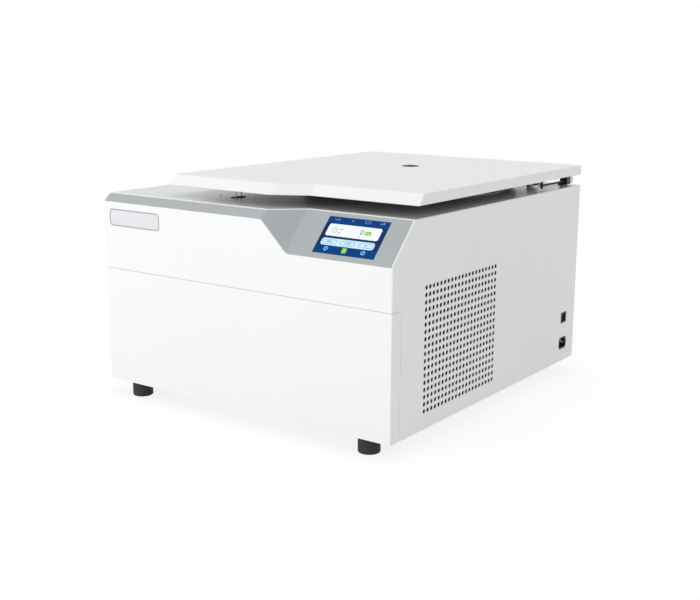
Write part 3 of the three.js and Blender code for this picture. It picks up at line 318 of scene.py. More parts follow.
def add_node(tree, kind, *given, operation=None, **named):
    node = tree.nodes.new("ShaderNode" + kind)
    if operation:
        node.operation = operation
    return connect(tree, node, *given, **named)


def round_coordinates(tree, source, centre):
    """Distance from an upright axis and height, for marks that run round it."""
    from_axis = add_node(tree, "VectorMath", source, (*centre, 0), operation="SUBTRACT")
    parts = add_node(tree, "SeparateXYZ", from_axis.outputs[0])
    plan = add_node(tree, "CombineXYZ", parts.outputs["X"], parts.outputs["Y"])
    radius = add_node(tree, "VectorMath", plan.outputs[0], operation="LENGTH")
    return add_node(tree, "CombineXYZ", radius.outputs["Value"], parts.outputs["Z"]).outputs[0]


def surface(
    name, colour, roughness, metallic=0.0, mottle=0.02, cloud=9.0, grain=0.05, grains=1500.0,
    depth=0.00002, stretch=(1, 1, 1), turned_about=None, coat=0.0, glow=0.0, level=0.5,
):
    """A material with drifting colour, grained roughness and fine relief."""
    made = bpy.data.materials.new(name)
    made.use_nodes = True
    tree = made.node_tree
    coordinates = add_node(tree, "TexCoord").outputs["Object"]
    if turned_about:
        coordinates = round_coordinates(tree, coordinates, turned_about)
    scaled = add_node(tree, "Mapping", coordinates, Scale=stretch).outputs[0]

    def noise(scale, detail):
        return add_node(tree, "TexNoise", Vector=scaled, Scale=scale, Detail=detail).outputs["Fac"]

    drift = add_node(tree, "ValToRGB", noise(cloud, 3))
    for stop, place, share in zip(drift.color_ramp.elements, (0.3, 0.7), (1 - mottle, 1 + mottle)):
        stop.position = place
        stop.color = (*[min(1.0, c * share) for c in colour], 1)
    fine = noise(grains, 2)
    rough = (max(0.0, roughness - grain), min(1.0, roughness + grain))
    shine = add_node(tree, "MapRange", fine, From_Min=0.3, From_Max=0.7, To_Min=rough[0], To_Max=rough[1])
    relief = add_node(tree, "Bump", Height=fine, Strength=0.5, Distance=depth)
    shader = connect(
        tree, tree.nodes["Principled BSDF"], Metallic=metallic, Specular_IOR_Level=level,
        Coat_Weight=coat, Coat_Roughness=0.08,
        Base_Color=drift.outputs[0], Roughness=shine.outputs[0], Normal=relief.outputs[0],
    )
    if glow:
        connect(tree, shader, Emission_Color=(*colour, 1), Emission_Strength=glow)
    return made


white_paint = surface("white_powder_coat", (0.86, 0.86, 0.865), 0.42, mottle=0.006, cloud=5, depth=0.00003)
deck_paint = surface("deck_gloss_paint", (0.60, 0.60, 0.605), 0.2, grain=0.03, grains=700)
grey_plastic = surface("grey_moulding", (0.39, 0.42, 0.435), 0.42, grains=2200)
black = surface("black_plastic", (0.016, 0.016, 0.018), 0.42, mottle=0.1, grains=2600, depth=0.00004)
rubber = surface("rubber", (0.014, 0.014, 0.015), 0.72, mottle=0.2, cloud=60, grain=0.1, depth=0.00006)
foam = surface(
    "closed_cell_foam", (0.72, 0.66, 0.45), 0.95, mottle=0.08, cloud=120, grains=600, depth=0.0006
)
liner_paint = surface("liner_grey", (0.07, 0.07, 0.074), 0.5, mottle=0.1, depth=0.00004)
board_green = surface("solder_mask", (0.012, 0.10, 0.045), 0.4, mottle=0.3, cloud=160)
white_ink = surface("white_ink", (0.85, 0.88, 0.92), 0.4, mottle=0.01, grain=0.02)
screen_glass = surface(
    "screen_glass", (0.003, 0.024, 0.10), 0.12, mottle=0.3, cloud=14, grain=0.02, level=0.1, glow=0.1
)
smoked_glass = surface("port_pane", (0.05, 0.055, 0.06), 0.06, mottle=0.05, grain=0.01, coat=1)
badge_metal = surface("badge_plate", (0.72, 0.72, 0.75), 0.4, 0.1, stretch=(1, 1, 12), grains=900)
badge_rim = surface("badge_rim", (0.42, 0.42, 0.43), 0.3, 0.6)
dark = surface("black_finish", (0.022, 0.022, 0.025), 0.34, 0.4, mottle=0.15, cloud=40)
stainless = surface("stainless", (0.62, 0.63, 0.64), 0.25, 1, mottle=0.04, grain=0.07, grains=1800)
bowl_steel = surface(
    "turned_stainless", (0.62, 0.63, 0.64), 0.26, 1, mottle=0.04, grain=0.08, grains=2600,
    turned_about=tuple(to_row(*CHAMBER, 0))[:2],
)
steel = surface("ground_steel", (0.42, 0.43, 0.44), 0.34, 1, mottle=0.06, cloud=30, grain=0.1)
zinc = surface("zinc_plate", (0.50, 0.52, 0.53), 0.4, 1, mottle=0.12, cloud=70, grain=0.1, grains=500)
aluminium = surface("anodised_aluminium", (0.60, 0.61, 0.62), 0.36, 1, mottle=0.03, grain=0.06)
copper = surface("drawn_copper", (0.62, 0.28, 0.13), 0.28, 1, mottle=0.12, cloud=25)

# Pieces

DOUBLED = 2e-6  # metres between points that are one
SHARP_EDGE = math.radians(34)
BEVELLED_EDGE = math.radians(20)
DRESSED_EDGE = math.radians(32)


def new_object(name, data):
    made = bpy.data.objects.new(name, data)
    bpy.context.scene.collection.objects.link(made)
    return made


def real_mesh(obj):
    """A new mesh of an object as its modifiers or its letters shape it."""
    graph = bpy.context.evaluated_depsgraph_get()
    return bpy.data.meshes.new_from_object(obj.evaluated_get(graph))


def paint(obj, material):
    obj.data.materials.clear()
    obj.data.materials.append(material)


def clean(obj):
    """Merges doubled points, turns the faces outwards and keeps only real edges sharp."""
    work = bmesh.new()
    work.from_mesh(obj.data)
    bmesh.ops.remove_doubles(work, verts=work.verts, dist=DOUBLED)
    bmesh.ops.dissolve_degenerate(work, edges=work.edges, dist=DOUBLED / 2)
    bmesh.ops.recalc_face_normals(work, faces=work.faces)
    for face in work.faces:
        face.smooth = True
    for edge in work.edges:
        edge.smooth = edge.is_manifold and edge.calc_face_angle(0) < SHARP_EDGE
    work.to_mesh(obj.data)
    work.free()
    weighted = obj.modifiers.new("weighted", "WEIGHTED_NORMAL")
    weighted.keep_sharp = True
    weighted.weight = 60


def face_out(mesh, facing):
    """Turns an open shape's faces so that the one nearest to a place faces a given way."""
    work = bmesh.new()
    work.from_mesh(mesh)
    bmesh.ops.remove_doubles(work, verts=work.verts, dist=DOUBLED)
    bmesh.ops.recalc_face_normals(work, faces=work.faces)
    if facing:
        place, way = to_row(*facing[0]), Vector(facing[1])
        near = min(work.faces, key=lambda face: (face.calc_center_median() - place).length)
        if near.normal.dot(way) < 0:
            bmesh.ops.reverse_faces(work, faces=work.faces)
    work.to_mesh(mesh)
    work.free()


def round_edges(obj, width, segments, angle):
    edge = obj.modifiers.new("edge", "BEVEL")
    edge.width = width / 1000
    edge.segments = segments
    edge.limit_method = "ANGLE"
    edge.angle_limit = angle


def thicken(obj, sheet, bevel):
    """Gives a shape its thickness inwards and its rounded edges, as plain mesh."""
    if sheet:
        solid = obj.modifiers.new("sheet", "SOLIDIFY")
        solid.thickness = sheet / 1000
        solid.offset = -1
        solid.use_even_offset = True
    if bevel:
        round_edges(obj, bevel, 3, BEVELLED_EDGE)
    plain, name = obj.data, obj.data.name
    obj.data = real_mesh(obj)
    obj.modifiers.clear()
    bpy.data.meshes.remove(plain)
    obj.data.name = name


def piece(name, shape, body, material, replaces=(), sheet=0.0, facing=None, bevel=0.0):
    """Makes a shape a piece that rides on a body and may stand for CAD nodes."""
    points, faces = shape
    mesh = bpy.data.meshes.new(name)
    mesh.from_pydata([to_row(*p) for p in points], [], faces)
    obj = new_object(name, mesh)
    if sheet or bevel:
        face_out(mesh, facing)
        thicken(obj, sheet, bevel)
    paint(obj, material)
    clean(obj)
    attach(obj, body)
    if replaces:
        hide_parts(*replaces)


def dress(node, material, width=0.4):
    """A CAD node keeps its shape and gets a material and fine rounded edges."""
    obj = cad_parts[node]
    paint(obj, material)
    weld = obj.modifiers.new("weld", "WELD")
    weld.merge_threshold = 0.000005
    round_edges(obj, width, 2, DRESSED_EDGE)


# Front edge

# Its faces are planes from left to right, each a point and a normal. Its corners are where two of
# them meet a third.

FRONT, TOP = ((0, 0, 0), (0, 1, 0)), ((0, 0, HEIGHT), (0, 0, 1))


def slope_z(y):
    return HEIGHT - SLOPE_DROP + y * SLOPE_DROP / SLOPE_RUN


def meet(*planes):
    """The point on three planes."""
    normals = Matrix([normal for _, normal in planes])
    reach = Vector([Vector(point).dot(Vector(normal)) for point, normal in planes])
    return normals.inverted() @ reach


def edge_planes(steps=6):
    """The planes of the bevel, the cheek, the slope and the creases between them."""
    low = Vector((BEVEL_END, 0, HEIGHT - BEVEL_DROP))
    kink = Vector((SLOPE_START, 0, HEIGHT - SLOPE_DROP))
    high = Vector((BEVEL_END + CREASE_SHIFT, BEVEL_RUN, HEIGHT))
    bevel = Vector((0, -BEVEL_DROP, BEVEL_RUN)).normalized()
    cheek = (kink - low).cross(high - low).normalized()
    slope = Vector((0, -SLOPE_DROP, SLOPE_RUN)).normalized()
    planes = [(low, bevel)]
    for point, before, after, way in ((low, bevel, cheek, 1), (kink, cheek, slope, -1)):
        middle = (before + after).normalized()
        centre = point - middle * way * CREASE / before.dot(middle)
        for k in range(1, steps):
            normal = before.slerp(after, k / steps)
            planes.append((centre + normal * way * CREASE, normal))
        planes.append((point, after))
    return planes


def along_edge(depth, third):
    """Where a third plane cuts the edge's creases and ends, at a depth below its faces."""
    planes = [(point - normal * depth, normal) for point, normal in edge_planes()]
    left_end, right_end = [((x, 0, 0), (1, 0, 0)) for x in (1.0, WIDTH - EDGE)]
    planes = [left_end, *planes, right_end]
    return [meet(a, b, third) for a, b in zip(planes, planes[1:])]


# Cabinet


def field(first, pitch, columns, rows):
    """The middles of a field of openings, from the lowest left one."""
    us = [first[0] + pitch[0] * i for i in range(columns)]
    vs = [first[1] + pitch[1] * j for j in range(rows)]
    return [(u, v) for u in us for v in vs]


def right_side_holes():
    """The small round vents, and the openings for the inlet and the switch."""
    holes = [circle(3.6, 14, place) for place in field((90, 28), (10.45, 11.05), 21, 18)]
    inlet, switch = ("mains_inlet", 30.6, 22.6, 7.2, 6), ("switch_frame", 22.6, 20.1, 1.2, 3)
    for node, *size in (inlet, switch):
        _, y, z = cad_middle(node)
        holes.append(panel(y, z, *size))
    return holes


def rim_path(mirrored):
    """A side wall's top edge from front to back: places, and the ways out of and up the wall."""
    rim = []
    if mirrored:
        top_path = [(RIM_START, HEIGHT), (DEPTH - REAR_BEND, HEIGHT)]
    else:
        corners = [(BEND, slope_z(BEND)), (SLOPE_RUN, HEIGHT), (DEPTH - REAR_BEND, HEIGHT)]
        top_path = rounded(corners, [0, 6, 0], 6)
        up_slope = (0, -SLOPE_DROP, SLOPE_RUN)
        rim.append(((WIDTH - HEM, 0, slope_z(0)), (0, -1, 0), up_slope))
        for u, v in arc((0, 0), 1, -90, 0, 4)[:-1]:
            x, y = WIDTH - BEND + BEND * u, BEND + BEND * v
            rim.append(((x, y, slope_z(y)), (u, v, 0), up_slope))
    for i, (y, z) in enumerate(top_path):
        y0, z0 = top_path[max(i - 1, 0)]
        y1, z1 = top_path[min(i + 1, len(top_path) - 1)]
        rim.append(((WIDTH, y, z), (1, 0, 0), (0, z0 - z1, y1 - y0)))
    for u, v in arc((0, 0), 1, 0, 90, 6)[1:]:
        x, y = WIDTH - REAR_BEND + REAR_BEND * u, DEPTH - REAR_BEND + REAR_BEND * v
        rim.append(((x, y, HEIGHT), (u, v, 0), (0, 0, 1)))
    rim.append(((WIDTH - REAR_RETURN, DEPTH, HEIGHT), (0, 1, 0), (0, 0, 1)))
    return rim


def rim_rows(rim, steps=4):
    """Rows of points from the wall's top edge round the fold and in by its width."""
    rows = [[] for _ in range(steps + 2)]
    for place, out, up in rim:
        place, out, up = Vector(place), Vector(out), Vector(up)
        up = (up - out * up.dot(out)).normalized()
        for k in range(steps + 1):
            a = math.pi / 2 * k / steps
            rows[k].append(place - out * RIM * (1 - math.cos(a)) - up * RIM * (1 - math.sin(a)))
        inner = place - out * HEM
        crest = rows[steps][-1]
        if place.y < BEND:
            crest.z = slope_z(crest.y)
            inner = Vector((WIDTH - HEM, crest.y, crest.z))
        rows[steps + 1].append(inner)
    return rows


def side_skin(mirrored):
    """One side wall with its front bend, folded top edge and rear return."""
    bottom, notch = SEAM + GAP, COVER_RETURN + GAP
    rows = rim_rows(rim_path(mirrored))
    low = rows[0]
    wall_top = [(p.y, p.z) for p in reversed(low) if abs(p.x - WIDTH) < 1e-3]
    if mirrored:
        holes = [panel(*place, 8, 66, 3.9, 4) for place in field((250, 70), (20, 86), 12, 2)]
        bevel_end = [(RIM_START - 1.3, HEIGHT - RIM), (BEND, BEVEL_FOOT - 0.8)]
        bend = arc((WIDTH - BEND, BEND), BEND, -90, 0, 4)
        bend_top = [(x, y, BEVEL_FOOT - 0.25 * y) for x, y in bend]
    else:
        holes = right_side_holes()
        bevel_end = []
        bend_top = low[:6]
    outline = [(BEND, bottom), (notch, bottom), (notch, 0), (DEPTH - REAR_BEND, 0), *wall_top, *bevel_end]
    wall = flat("x", outline, WIDTH, holes)
    turn = [p for p in low if p.y > DEPTH - REAR_BEND - 1e-3]
    rear = bridge([[(p.x, p.y, 0) for p in turn], turn], closed=False)
    front = bridge([[(x, y, bottom) for x, y, _ in bend_top], bend_top], closed=False)
    folded = bridge(rows, closed=False)
    points, faces = merge(folded, wall, rear, front)
    if mirrored:
        points = [(WIDTH - x, y, z) for x, y, z in points]
    return points, faces


def upper_front():
    """The upper front face, whose top edge follows the lip of the moulding."""
    lip = along_edge(LIP, FRONT)
    right = WIDTH - HEM
    outline = [(BEND, SEAM + GAP), (right, SEAM + GAP), (right, HEIGHT - SLOPE_DROP - RIM)]
    outline += [(p.x, p.z) for p in reversed(lip[1:])]
    return flat("y", [*outline, (BEND, BEVEL_FOOT)], 0)


def front_cover():
    left = arc((BEND, BEND), BEND, 180, 270, 6)[1:]
    right = arc((WIDTH - BEND, BEND), BEND, 270, 360, 6)[1:]
    path = [(0, COVER_RETURN), (0, BEND), *left, *right, (WIDTH, COVER_RETURN)]
    return bridge([[(x, y, z) for x, y in path] for z in (0, SEAM)], closed=False)


def rear_panel():
    """The rear panel between the returns of the sides, with the fold along its top."""
    clear = REAR_RETURN + 0.3
    slots = [panel(*place, 9, 70, 4.4, 4) for place in field((119.5, 76), (24, 88), 15, 2)]
    ends = (clear, WIDTH - clear)
    skin = slab("y", rectangle(ends, (0, HEIGHT)), (DEPTH - SHEET, DEPTH), 0.5, 0.2, slots)
    fold = slab("z", rectangle(ends, (DEPTH - HEM, DEPTH - 0.6)), (HEIGHT - SHEET, HEIGHT), 0.5, 0.5)
    return merge(skin, fold)


def cabinet():
    right = merge(side_skin(False), upper_front())
    right_nodes = ["right_side_panel", "upper_front_panel"]
    for name, shape, nodes, *facing in (
        ("cabinet_skin_right", right, right_nodes, (WIDTH, 400, 290), (1, 0, 0)),
        ("cabinet_skin_left", side_skin(True), ["left_side_panel"], (0, 400, 290), (-1, 0, 0)),
        ("front_cover", front_cover(), ["lower_front_cover"], (WIDTH / 2, 0, 100), (0, -1, 0)),
    ):
        piece(name, shape, "cabinet", white_paint, nodes, SHEET, facing)
    piece("rear_panel_skin", rear_panel(), "cabinet", white_paint, ["rear_panel"])


def deck():
    """The deck, and the screws and trim at the latch's slot."""
    opening = circle(162.3, 128, CHAMBER)
    latch_x, latch_y = cad_middle("latch_striker")[:2]
    latch_slot = panel(latch_x, latch_y, 10, 24, 2.2, 4)
    tubes = [cad_middle(f"gas_spring_tube_{side}") for side in SIDES]
    spring_slots = [panel(x, 563, 14, 54, 6, 5) for x, _, _ in tubes]
    front = [(p.x, p.y) for p in along_edge(WALL + 0.3, TOP)]
    front[0] = (EDGE, front[0][1])
    outline = [*front, (WIDTH - EDGE, DEPTH - EDGE), (EDGE, DEPTH - EDGE)]
    holes = [opening, latch_slot, *spring_slots]
    sheet = slab("z", outline, (HEIGHT - SHEET, HEIGHT), 0.5, 0.1, holes)
    piece("deck", sheet, "cabinet", deck_paint, ["top_deck"])

    head = rectangle((0, 2.3), (HEIGHT - 1, HEIGHT + 0.6))
    heads = []
    for place in ((170.7, 97.8), (242.2, 101.7)):
        heads.append(turned(head, [0, 0, 0.5, 0], 5, place, 24))
        heads.append(slab("z", circle(1.2, 6, place), (HEIGHT + 0.4, HEIGHT + 0.7)))
    piece("latch_screws", merge(*heads), "cabinet", steel)
    outer = panel(latch_x, latch_y, 13, 27, 3.4, 5)
    trim = slab("z", outer, (HEIGHT, HEIGHT + 0.8), 0.5, 0, [latch_slot])
    piece("latch_slot_trim", trim, "cabinet", rubber)


def feet():
    """Rubber feet, each hollow from below round its screw."""
    radius, hollow, head_radius, screw_z = 17, 7, 5, -18
    corners = [(0, 0), (radius, 0), (radius, -FOOT), (hollow, -FOOT), (hollow, screw_z), (0, screw_z)]
    head = rectangle((0, head_radius), (screw_z - 1.5, screw_z + 0.1))
    heads = []
    for end in ("front", "rear"):
        for side in SIDES:
            name = f"foot_{end}_{side}"
            place = cad_middle(name)[:2]
            foot = turned(corners, [0, 0.6, 2.2, 0.8, 0, 0], 4, place)
            piece(f"{name}_rubber", foot, "cabinet", rubber, [name])
            heads.append(turned(head, [0, 0.5, 0, 0], 5, place, 24))
    piece("foot_screws", merge(*heads), "cabinet", zinc)


# Moulding, plate and screen

SCREEN_Y = 28.0
screen_place = shifted(
    cad_middle("touch_screen")[0], SCREEN_Y, slope_z(SCREEN_Y), "X", math.atan2(SLOPE_DROP, SLOPE_RUN)
)


def on_slope(u, v, depth):
    """A point under the slope, measured along it from the screen's middle."""
    return screen_place @ Vector((u, v, -depth))


def bezel():
    """The moulding along the front edge, open for the screen, and the white strip behind it, partly a folded
    edge and partly a painted highlight.
    """
    back, ledge = ((0, 2.4, 0), (0, 1, 0)), ((0, 0, HEIGHT + LEDGE), (0, 0, 1))
    lines = ((0, FRONT), (LIP, FRONT), (WALL, back), (WALL, ledge), (0, ledge))
    rows = [along_edge(depth, third) for depth, third in lines]
    parts = [bridge([row[:-1] for row in (*rows, rows[0])], closed=False)]
    left, right = [row[-2] for row in rows], [row[-1] for row in rows]
    parts.append(([*left, *right], [[0, 5, 6, 1], [1, 6, 7, 2], [3, 8, 9, 4]]))
    for end in (0, -1):
        parts.append(([row[end] for row in rows], [list(range(len(rows)))]))
    corners = rectangle(span(0, 108.6), span(0, 65.4))
    openings = [[on_slope(u, v, depth) for u, v in corners] for depth in (0, WALL)]
    frames = ((left[0], right[0], right[4], left[4]), (left[2], right[2], right[3], left[3]))
    parts += [bridge(pair) for pair in zip(frames, openings)]
    parts.append(bridge(openings))
    piece(
        "control_moulding", merge(*parts), "cabinet", grey_plastic,
        ["control_bezel"], bevel=0.4,
    )
    # The white strip behind the moulding is partly the sheet's folded edge and partly a painted highlight
    # along the moulding's top edge.
    front, behind = [[(p.x, p.y) for p in along_edge(depth, TOP)] for depth in (0.9, WALL)]
    strip = slab("z", [*front, *reversed(behind)], (HEIGHT + LEDGE, HEIGHT + LINE), 0.3, 0)
    piece("front_hem_and_painted_highlight", strip, "cabinet", white_paint)


def name_plate():
    """The bare plate, with its raised rim."""
    low, high = cad_ends("name_plate")
    outline = rounded(rectangle((low[0], high[0]), (low[2], high[2])), 6.5, 6)
    inner = inset(turning(outline), 2.0)
    rim = slab("y", outline, (-0.5, 0.75), 0.2, 0.45, [inner])
    piece("plate_rim", rim, "cabinet", badge_rim)
    face = slab("y", inner, (-0.05, 0.7), 0.1, 0.1)
    piece("plate_face", face, "cabinet", badge_metal, ["name_plate"])


# The screen's picture is thin films on the pane, at one of these levels. Their places and sizes
# are measured from the screen's middle, to the right and up the slope.
BAND, LOWER, UPPER, MARK = -0.1, -0.06, -0.02, 0.02
FILM = 0.03
PILL_U, PILL_V = (-33, -1, 31), -11.8
BADGE, BUTTON, DIAL = (25.1, 9.1), (-0.7, -24.2), (-34, 8.6)


def film(u, v, width, height, radius, level, line=0.0):
    """A film with round corners, or only a line along its edge."""
    outline = turning(panel(u, v, width, height, radius, 4))
    return slab("z", outline, (level, level + FILM), holes=[inset(outline, line)] if line else [])


def disc(place, radius, hole, level, sides=20, hole_sides=20):
    outline, inner = circle(radius, sides, place), circle(hole, hole_sides, place)
    return slab("z", outline, (level, level + FILM), holes=[inner])


def lettering(text, size, place, level):
    """Flat figures, centred on a point of a level."""
    curve = bpy.data.curves.new("lettering", "FONT")
    curve.body = text
    curve.size = size
    curve.align_x = curve.align_y = "CENTER"
    curve.extrude = FILM / 2
    curve.resolution_u = 4
    holder = new_object("lettering", curve)
    mesh = real_mesh(holder)
    shape = [tuple(v.co) for v in mesh.vertices], [list(f.vertices) for f in mesh.polygons]
    bpy.data.objects.remove(holder)
    bpy.data.curves.remove(curve)
    bpy.data.meshes.remove(mesh)
    return moved(shape, shifted(*place, level + FILM / 2))


def screen():
    """The pane, and the layers of its picture with their colours and glows."""
    outline = panel(0, 0, 108, 64.8, 0.8, 3)
    pane = moved(slab("z", outline, (-2.6, -0.1), 0.3, 0.1), screen_place)
    piece("screen_pane", pane, "cabinet", screen_glass, ["touch_screen"])
    bands = [film(0, 26.5, 107, 11.2, 0.6, BAND), film(0, -25.5, 107, 13, 0.6, BAND)]
    status = [
        lettering("12:40", 4.6, (-38, 27.5), LOWER),
        lettering("20", 4.6, (-10, 28), LOWER),
        film(16.3, 28, 11, 4.2, 2.0, LOWER, 0.6),
        *[film(38 + 3 * i, 28.6 - 0.6 * (2 - i), 1.6, 1.6 + 1.2 * i, 0.3, LOWER) for i in range(3)],
    ]
    pills = [film(u, PILL_V, 26, 7.8, 3.8, UPPER, 0.5) for u in PILL_U]
    pills += [lettering(t, 5.0, (u, PILL_V - 0.1), UPPER) for t, u in zip(("4000", "15:00", "20"), PILL_U)]
    gauge = [
        disc(DIAL, 4.6, 3.8, UPPER),
        film(-34, 10.4, 0.8, 3.6, 0.3, UPPER),
        film(-23, 11.4, 9, 1.0, 0.4, UPPER),
        film(-25, 5.4, 5, 1.0, 0.4, UPPER),
        film(14, 1.4, 2.6, 1.2, 0.5, UPPER),
    ]
    badges = [film(*BADGE, 11.6, 6.4, 2.4, UPPER), film(*BUTTON, 8.4, 9.0, 2.0, LOWER)]
    ticks = [
        film(*BUTTON, 3.4, 0.9, 0.3, UPPER),
        film(*BUTTON, 0.9, 3.4, 0.3, UPPER),
        film(*BADGE, 5.6, 1.1, 0.4, MARK),
    ]
    for name, films, colour, glow in (
        ("bands", bands, (0.002, 0.046, 0.2), 0.1),
        ("panel", [film(-0.5, 9.1, 93, 21.4, 3.4, LOWER)], (0.80, 0.84, 0.90), 0.1),
        ("bar", [film(-1, PILL_V, 93.5, 12.6, 4.6, LOWER)], (0.55, 0.76, 0.91), 0.1),
        ("status", status, (0.20, 0.38, 0.62), 0.1),
        ("pills", pills, (0.03, 0.16, 0.42), 0.1),
        ("zero", [lettering("0", 12.5, (14, 9.8), UPPER)], (0.10, 0.16, 0.50), 0.1),
        ("gauge", gauge, (0.32, 0.34, 0.40), 0.05),
        ("badge", badges, (0.22, 0.55, 0.02), 0.15),
        ("icons", [disc((u, -24), 3.9, 1.5, LOWER, 24, 16) for u in (-33.5, 32)], (0.12, 0.42, 0.75), 0.1),
        ("ticks", ticks, (0.70, 0.85, 0.70), 0.1),
    ):
        made = surface(f"screen_{name}", colour, 0.25, grain=0.03, level=0.04, glow=glow)
        piece(f"screen_{name}", moved(merge(*films), screen_place), "cabinet", made)


# Lid

# The top face has the outline of the lower edge, with its front and left edges further in. All of
# it is about a millimetre higher than in the CAD, where the photo has it.

LID_LOW, LID_HIGH = 337.0, 353.2
LID_LEAN = 13.5
LID_LEFT = (111.5, 115.5)
LID_FRONT, LID_STEP = 35.0, 66.5
KINK_LEFT, KINK_RIGHT, KINK_SHIFT = 325.0, 383.0, 1.5
INNER_PLATE = (336.3, 338.3)
UNDERSIDE = 336


def lid_outline(top):
    """The outline of the lid's lower edge, or of its top."""
    left = LID_LEFT[1] if top else LID_LEFT[0]
    lean, shift = (LID_LEAN, KINK_SHIFT) if top else (0, 0)
    front, step = LID_FRONT + lean, LID_STEP + lean
    corners = [(left, front), (KINK_LEFT + shift, front), (KINK_RIGHT - shift, step), (WIDTH, step)]
    return rounded([*corners, (WIDTH, DEPTH), (left, DEPTH)], [2.0, 12, 12, 2.0, 2.0, 2.0], 5)


def lid_shell(bend=0.9, steps=5):
    """The lid's leaning edges, the small bend round its top, and the top with the port."""
    lower, upper = lid_outline(False), lid_outline(True)

    def level(z, move=0.0):
        share = (z - LID_LOW) / (LID_HIGH - LID_LOW)
        mixed = [Vector(a).lerp(Vector(b), share) for a, b in zip(lower, upper)]
        return [(x, y, z) for x, y in inset(mixed, move)]

    rows = [level(LID_LOW), level((LID_LOW + LID_HIGH) / 2)]
    for k in range(steps + 1):
        a = math.pi / 2 * k / steps
        rows.append(level(LID_HIGH - bend * (1 - math.sin(a)), bend * (1 - math.cos(a))))
    top = flat("z", [(x, y) for x, y, _ in rows[-1]], LID_HIGH, [circle(15.8, 48, CHAMBER)])
    return merge(bridge(rows), top)


def liner():
    """The round liner under the lid, with two raised rings, and the gasket round it."""
    low, sight, radius = 327, 12.3, 187
    corners = rectangle((sight, radius), (low, UNDERSIDE))
    parts = [turned(corners, [0.5, 2.5, 0.6, 0], 5, CHAMBER, 128)]
    for inner in (150, 156):
        corners = rectangle((inner, inner + 3), (low - 1.1, low + 0.5))
        parts.append(turned(corners, [1, 1, 0, 0], 4, CHAMBER, 128))
    piece("lid_liner_disc", merge(*parts), "lid", liner_paint, ["lid_liner"])
    corners = [(163, 320.6), (176, 320.6), (178, 323), (186, 323), (186, 326.7), (163, 326.7)]
    gasket = turned(corners, [2.4, 1, 0.6, 1, 0, 0.5], 5, CHAMBER, 128)
    piece("lid_seal", gasket, "lid", rubber, ["lid_gasket"])


def port():
    """The sight port over the rotor: a flanged tube through the lid, and its pane."""
    bore, wall, flange, top, low = 10.5, 12, 15.3, 353.7, 327.2
    corners = [(bore, 345), (bore, top - 1.1), (13.2, top), (flange, top), (flange, 350), (wall, 350)]
    corners += [(wall, low), (bore, low)]
    tube = turned(corners, [0, 0.4, 0.4, 0.6, 0, 0, 0, 0], 5, CHAMBER)
    piece("port_ring", tube, "lid", black, ["port_window"])
    pane = turned(rectangle((0, 10.7), (349.7, 351.5)), [0, 0.2, 0.2, 0], 3, CHAMBER, 48)
    piece("port_pane", pane, "lid", smoked_glass)


def lid():
    piece(
        "lid_skin", lid_shell(), "lid", white_paint,
        ["lid_shell"], SHEET, ((300, 300, LID_HIGH), (0, 0, 1)),
    )
    inner = inset(turning(lid_outline(False)), 1.6)
    under = slab("z", inner, INNER_PLATE, 0.3, 0.4, [circle(12.3, 40, CHAMBER)])
    piece("lid_underside", under, "lid", zinc, ["lid_inner_plate"])
    liner()
    port()


# Hinges and gas springs

HINGE_AXIS = tuple(cad_middle("hinge_pin_left")[1:])
KNUCKLE = 7
SPRING_STUD = (543, 326)


def lid_x(side, a, b):
    """A piece's two ends in X, from distances inwards of the lid's edge."""
    left = cad_ends("lid_shell")[0][0]
    return (left + a, left + b) if side == "left" else (WIDTH - b, WIDTH - a)


def hinge_arm(side):
    """The lid's half: a block and sleeve, a forward rod to a post, and a lug for the gas spring."""
    arm_x = lid_x(side, 14, 25)
    middle = sum(arm_x) / 2
    top, low, joint = UNDERSIDE, 320, 598.5
    block = slab("x", [(joint, low), (joint, top), (583.5, top), (583.5, 322), (586, low)], arm_x, 0.8, 0.8)
    knuckle = arc(HINGE_AXIS, KNUCKLE, -90, 45, 15)
    outline = [(joint - 0.2, low), *knuckle, (601.5, top), (joint - 0.2, top)]
    sleeve = slab("x", outline, arm_x, 0.8, 0.8, [circle(3.3, 24, HINGE_AXIS)])
    piece(f"hinge_sleeve_{side}", sleeve, "lid", stainless)

    outline = rounded(rectangle(lid_x(side, 14, 59), (535, 588)), 2, 3)
    leaf = slab("z", outline, (top - 2.5, top), 0.3, 0.5)
    outline = rounded(rectangle((535, 551), (322, top)), [6, 6, 0, 0], 5)
    lug = slab("x", outline, lid_x(side, 55, 59), 0.6, 0.6)
    piece(f"spring_lug_{side}", merge(leaf, lug), "lid", white_paint)
    stud = rod("x", SPRING_STUD, 4, lid_x(side, 55, 72), 0.6, 24)
    piece(f"spring_stud_{side}", stud, "lid", white_paint)

    post_y, rod_z = 493.5, 325.5
    carrier = rod("y", (middle, rod_z), 1.8, (post_y, 585), 0.3, 20)
    catch = rod("y", (middle, rod_z), 0.9, (480, post_y + 0.5), 0.3, 16)
    post = rod("z", (middle, post_y), 2, (low, top), 0.5, 20)
    collar = rod("z", (middle, post_y), 2.8, (322.7, 328.3), 0.6, 20)
    lever = merge(block, carrier, catch, post, collar)
    piece(f"hinge_lever_{side}", lever, "lid", dark, [f"hinge_arm_{side}"])
    return arm_x


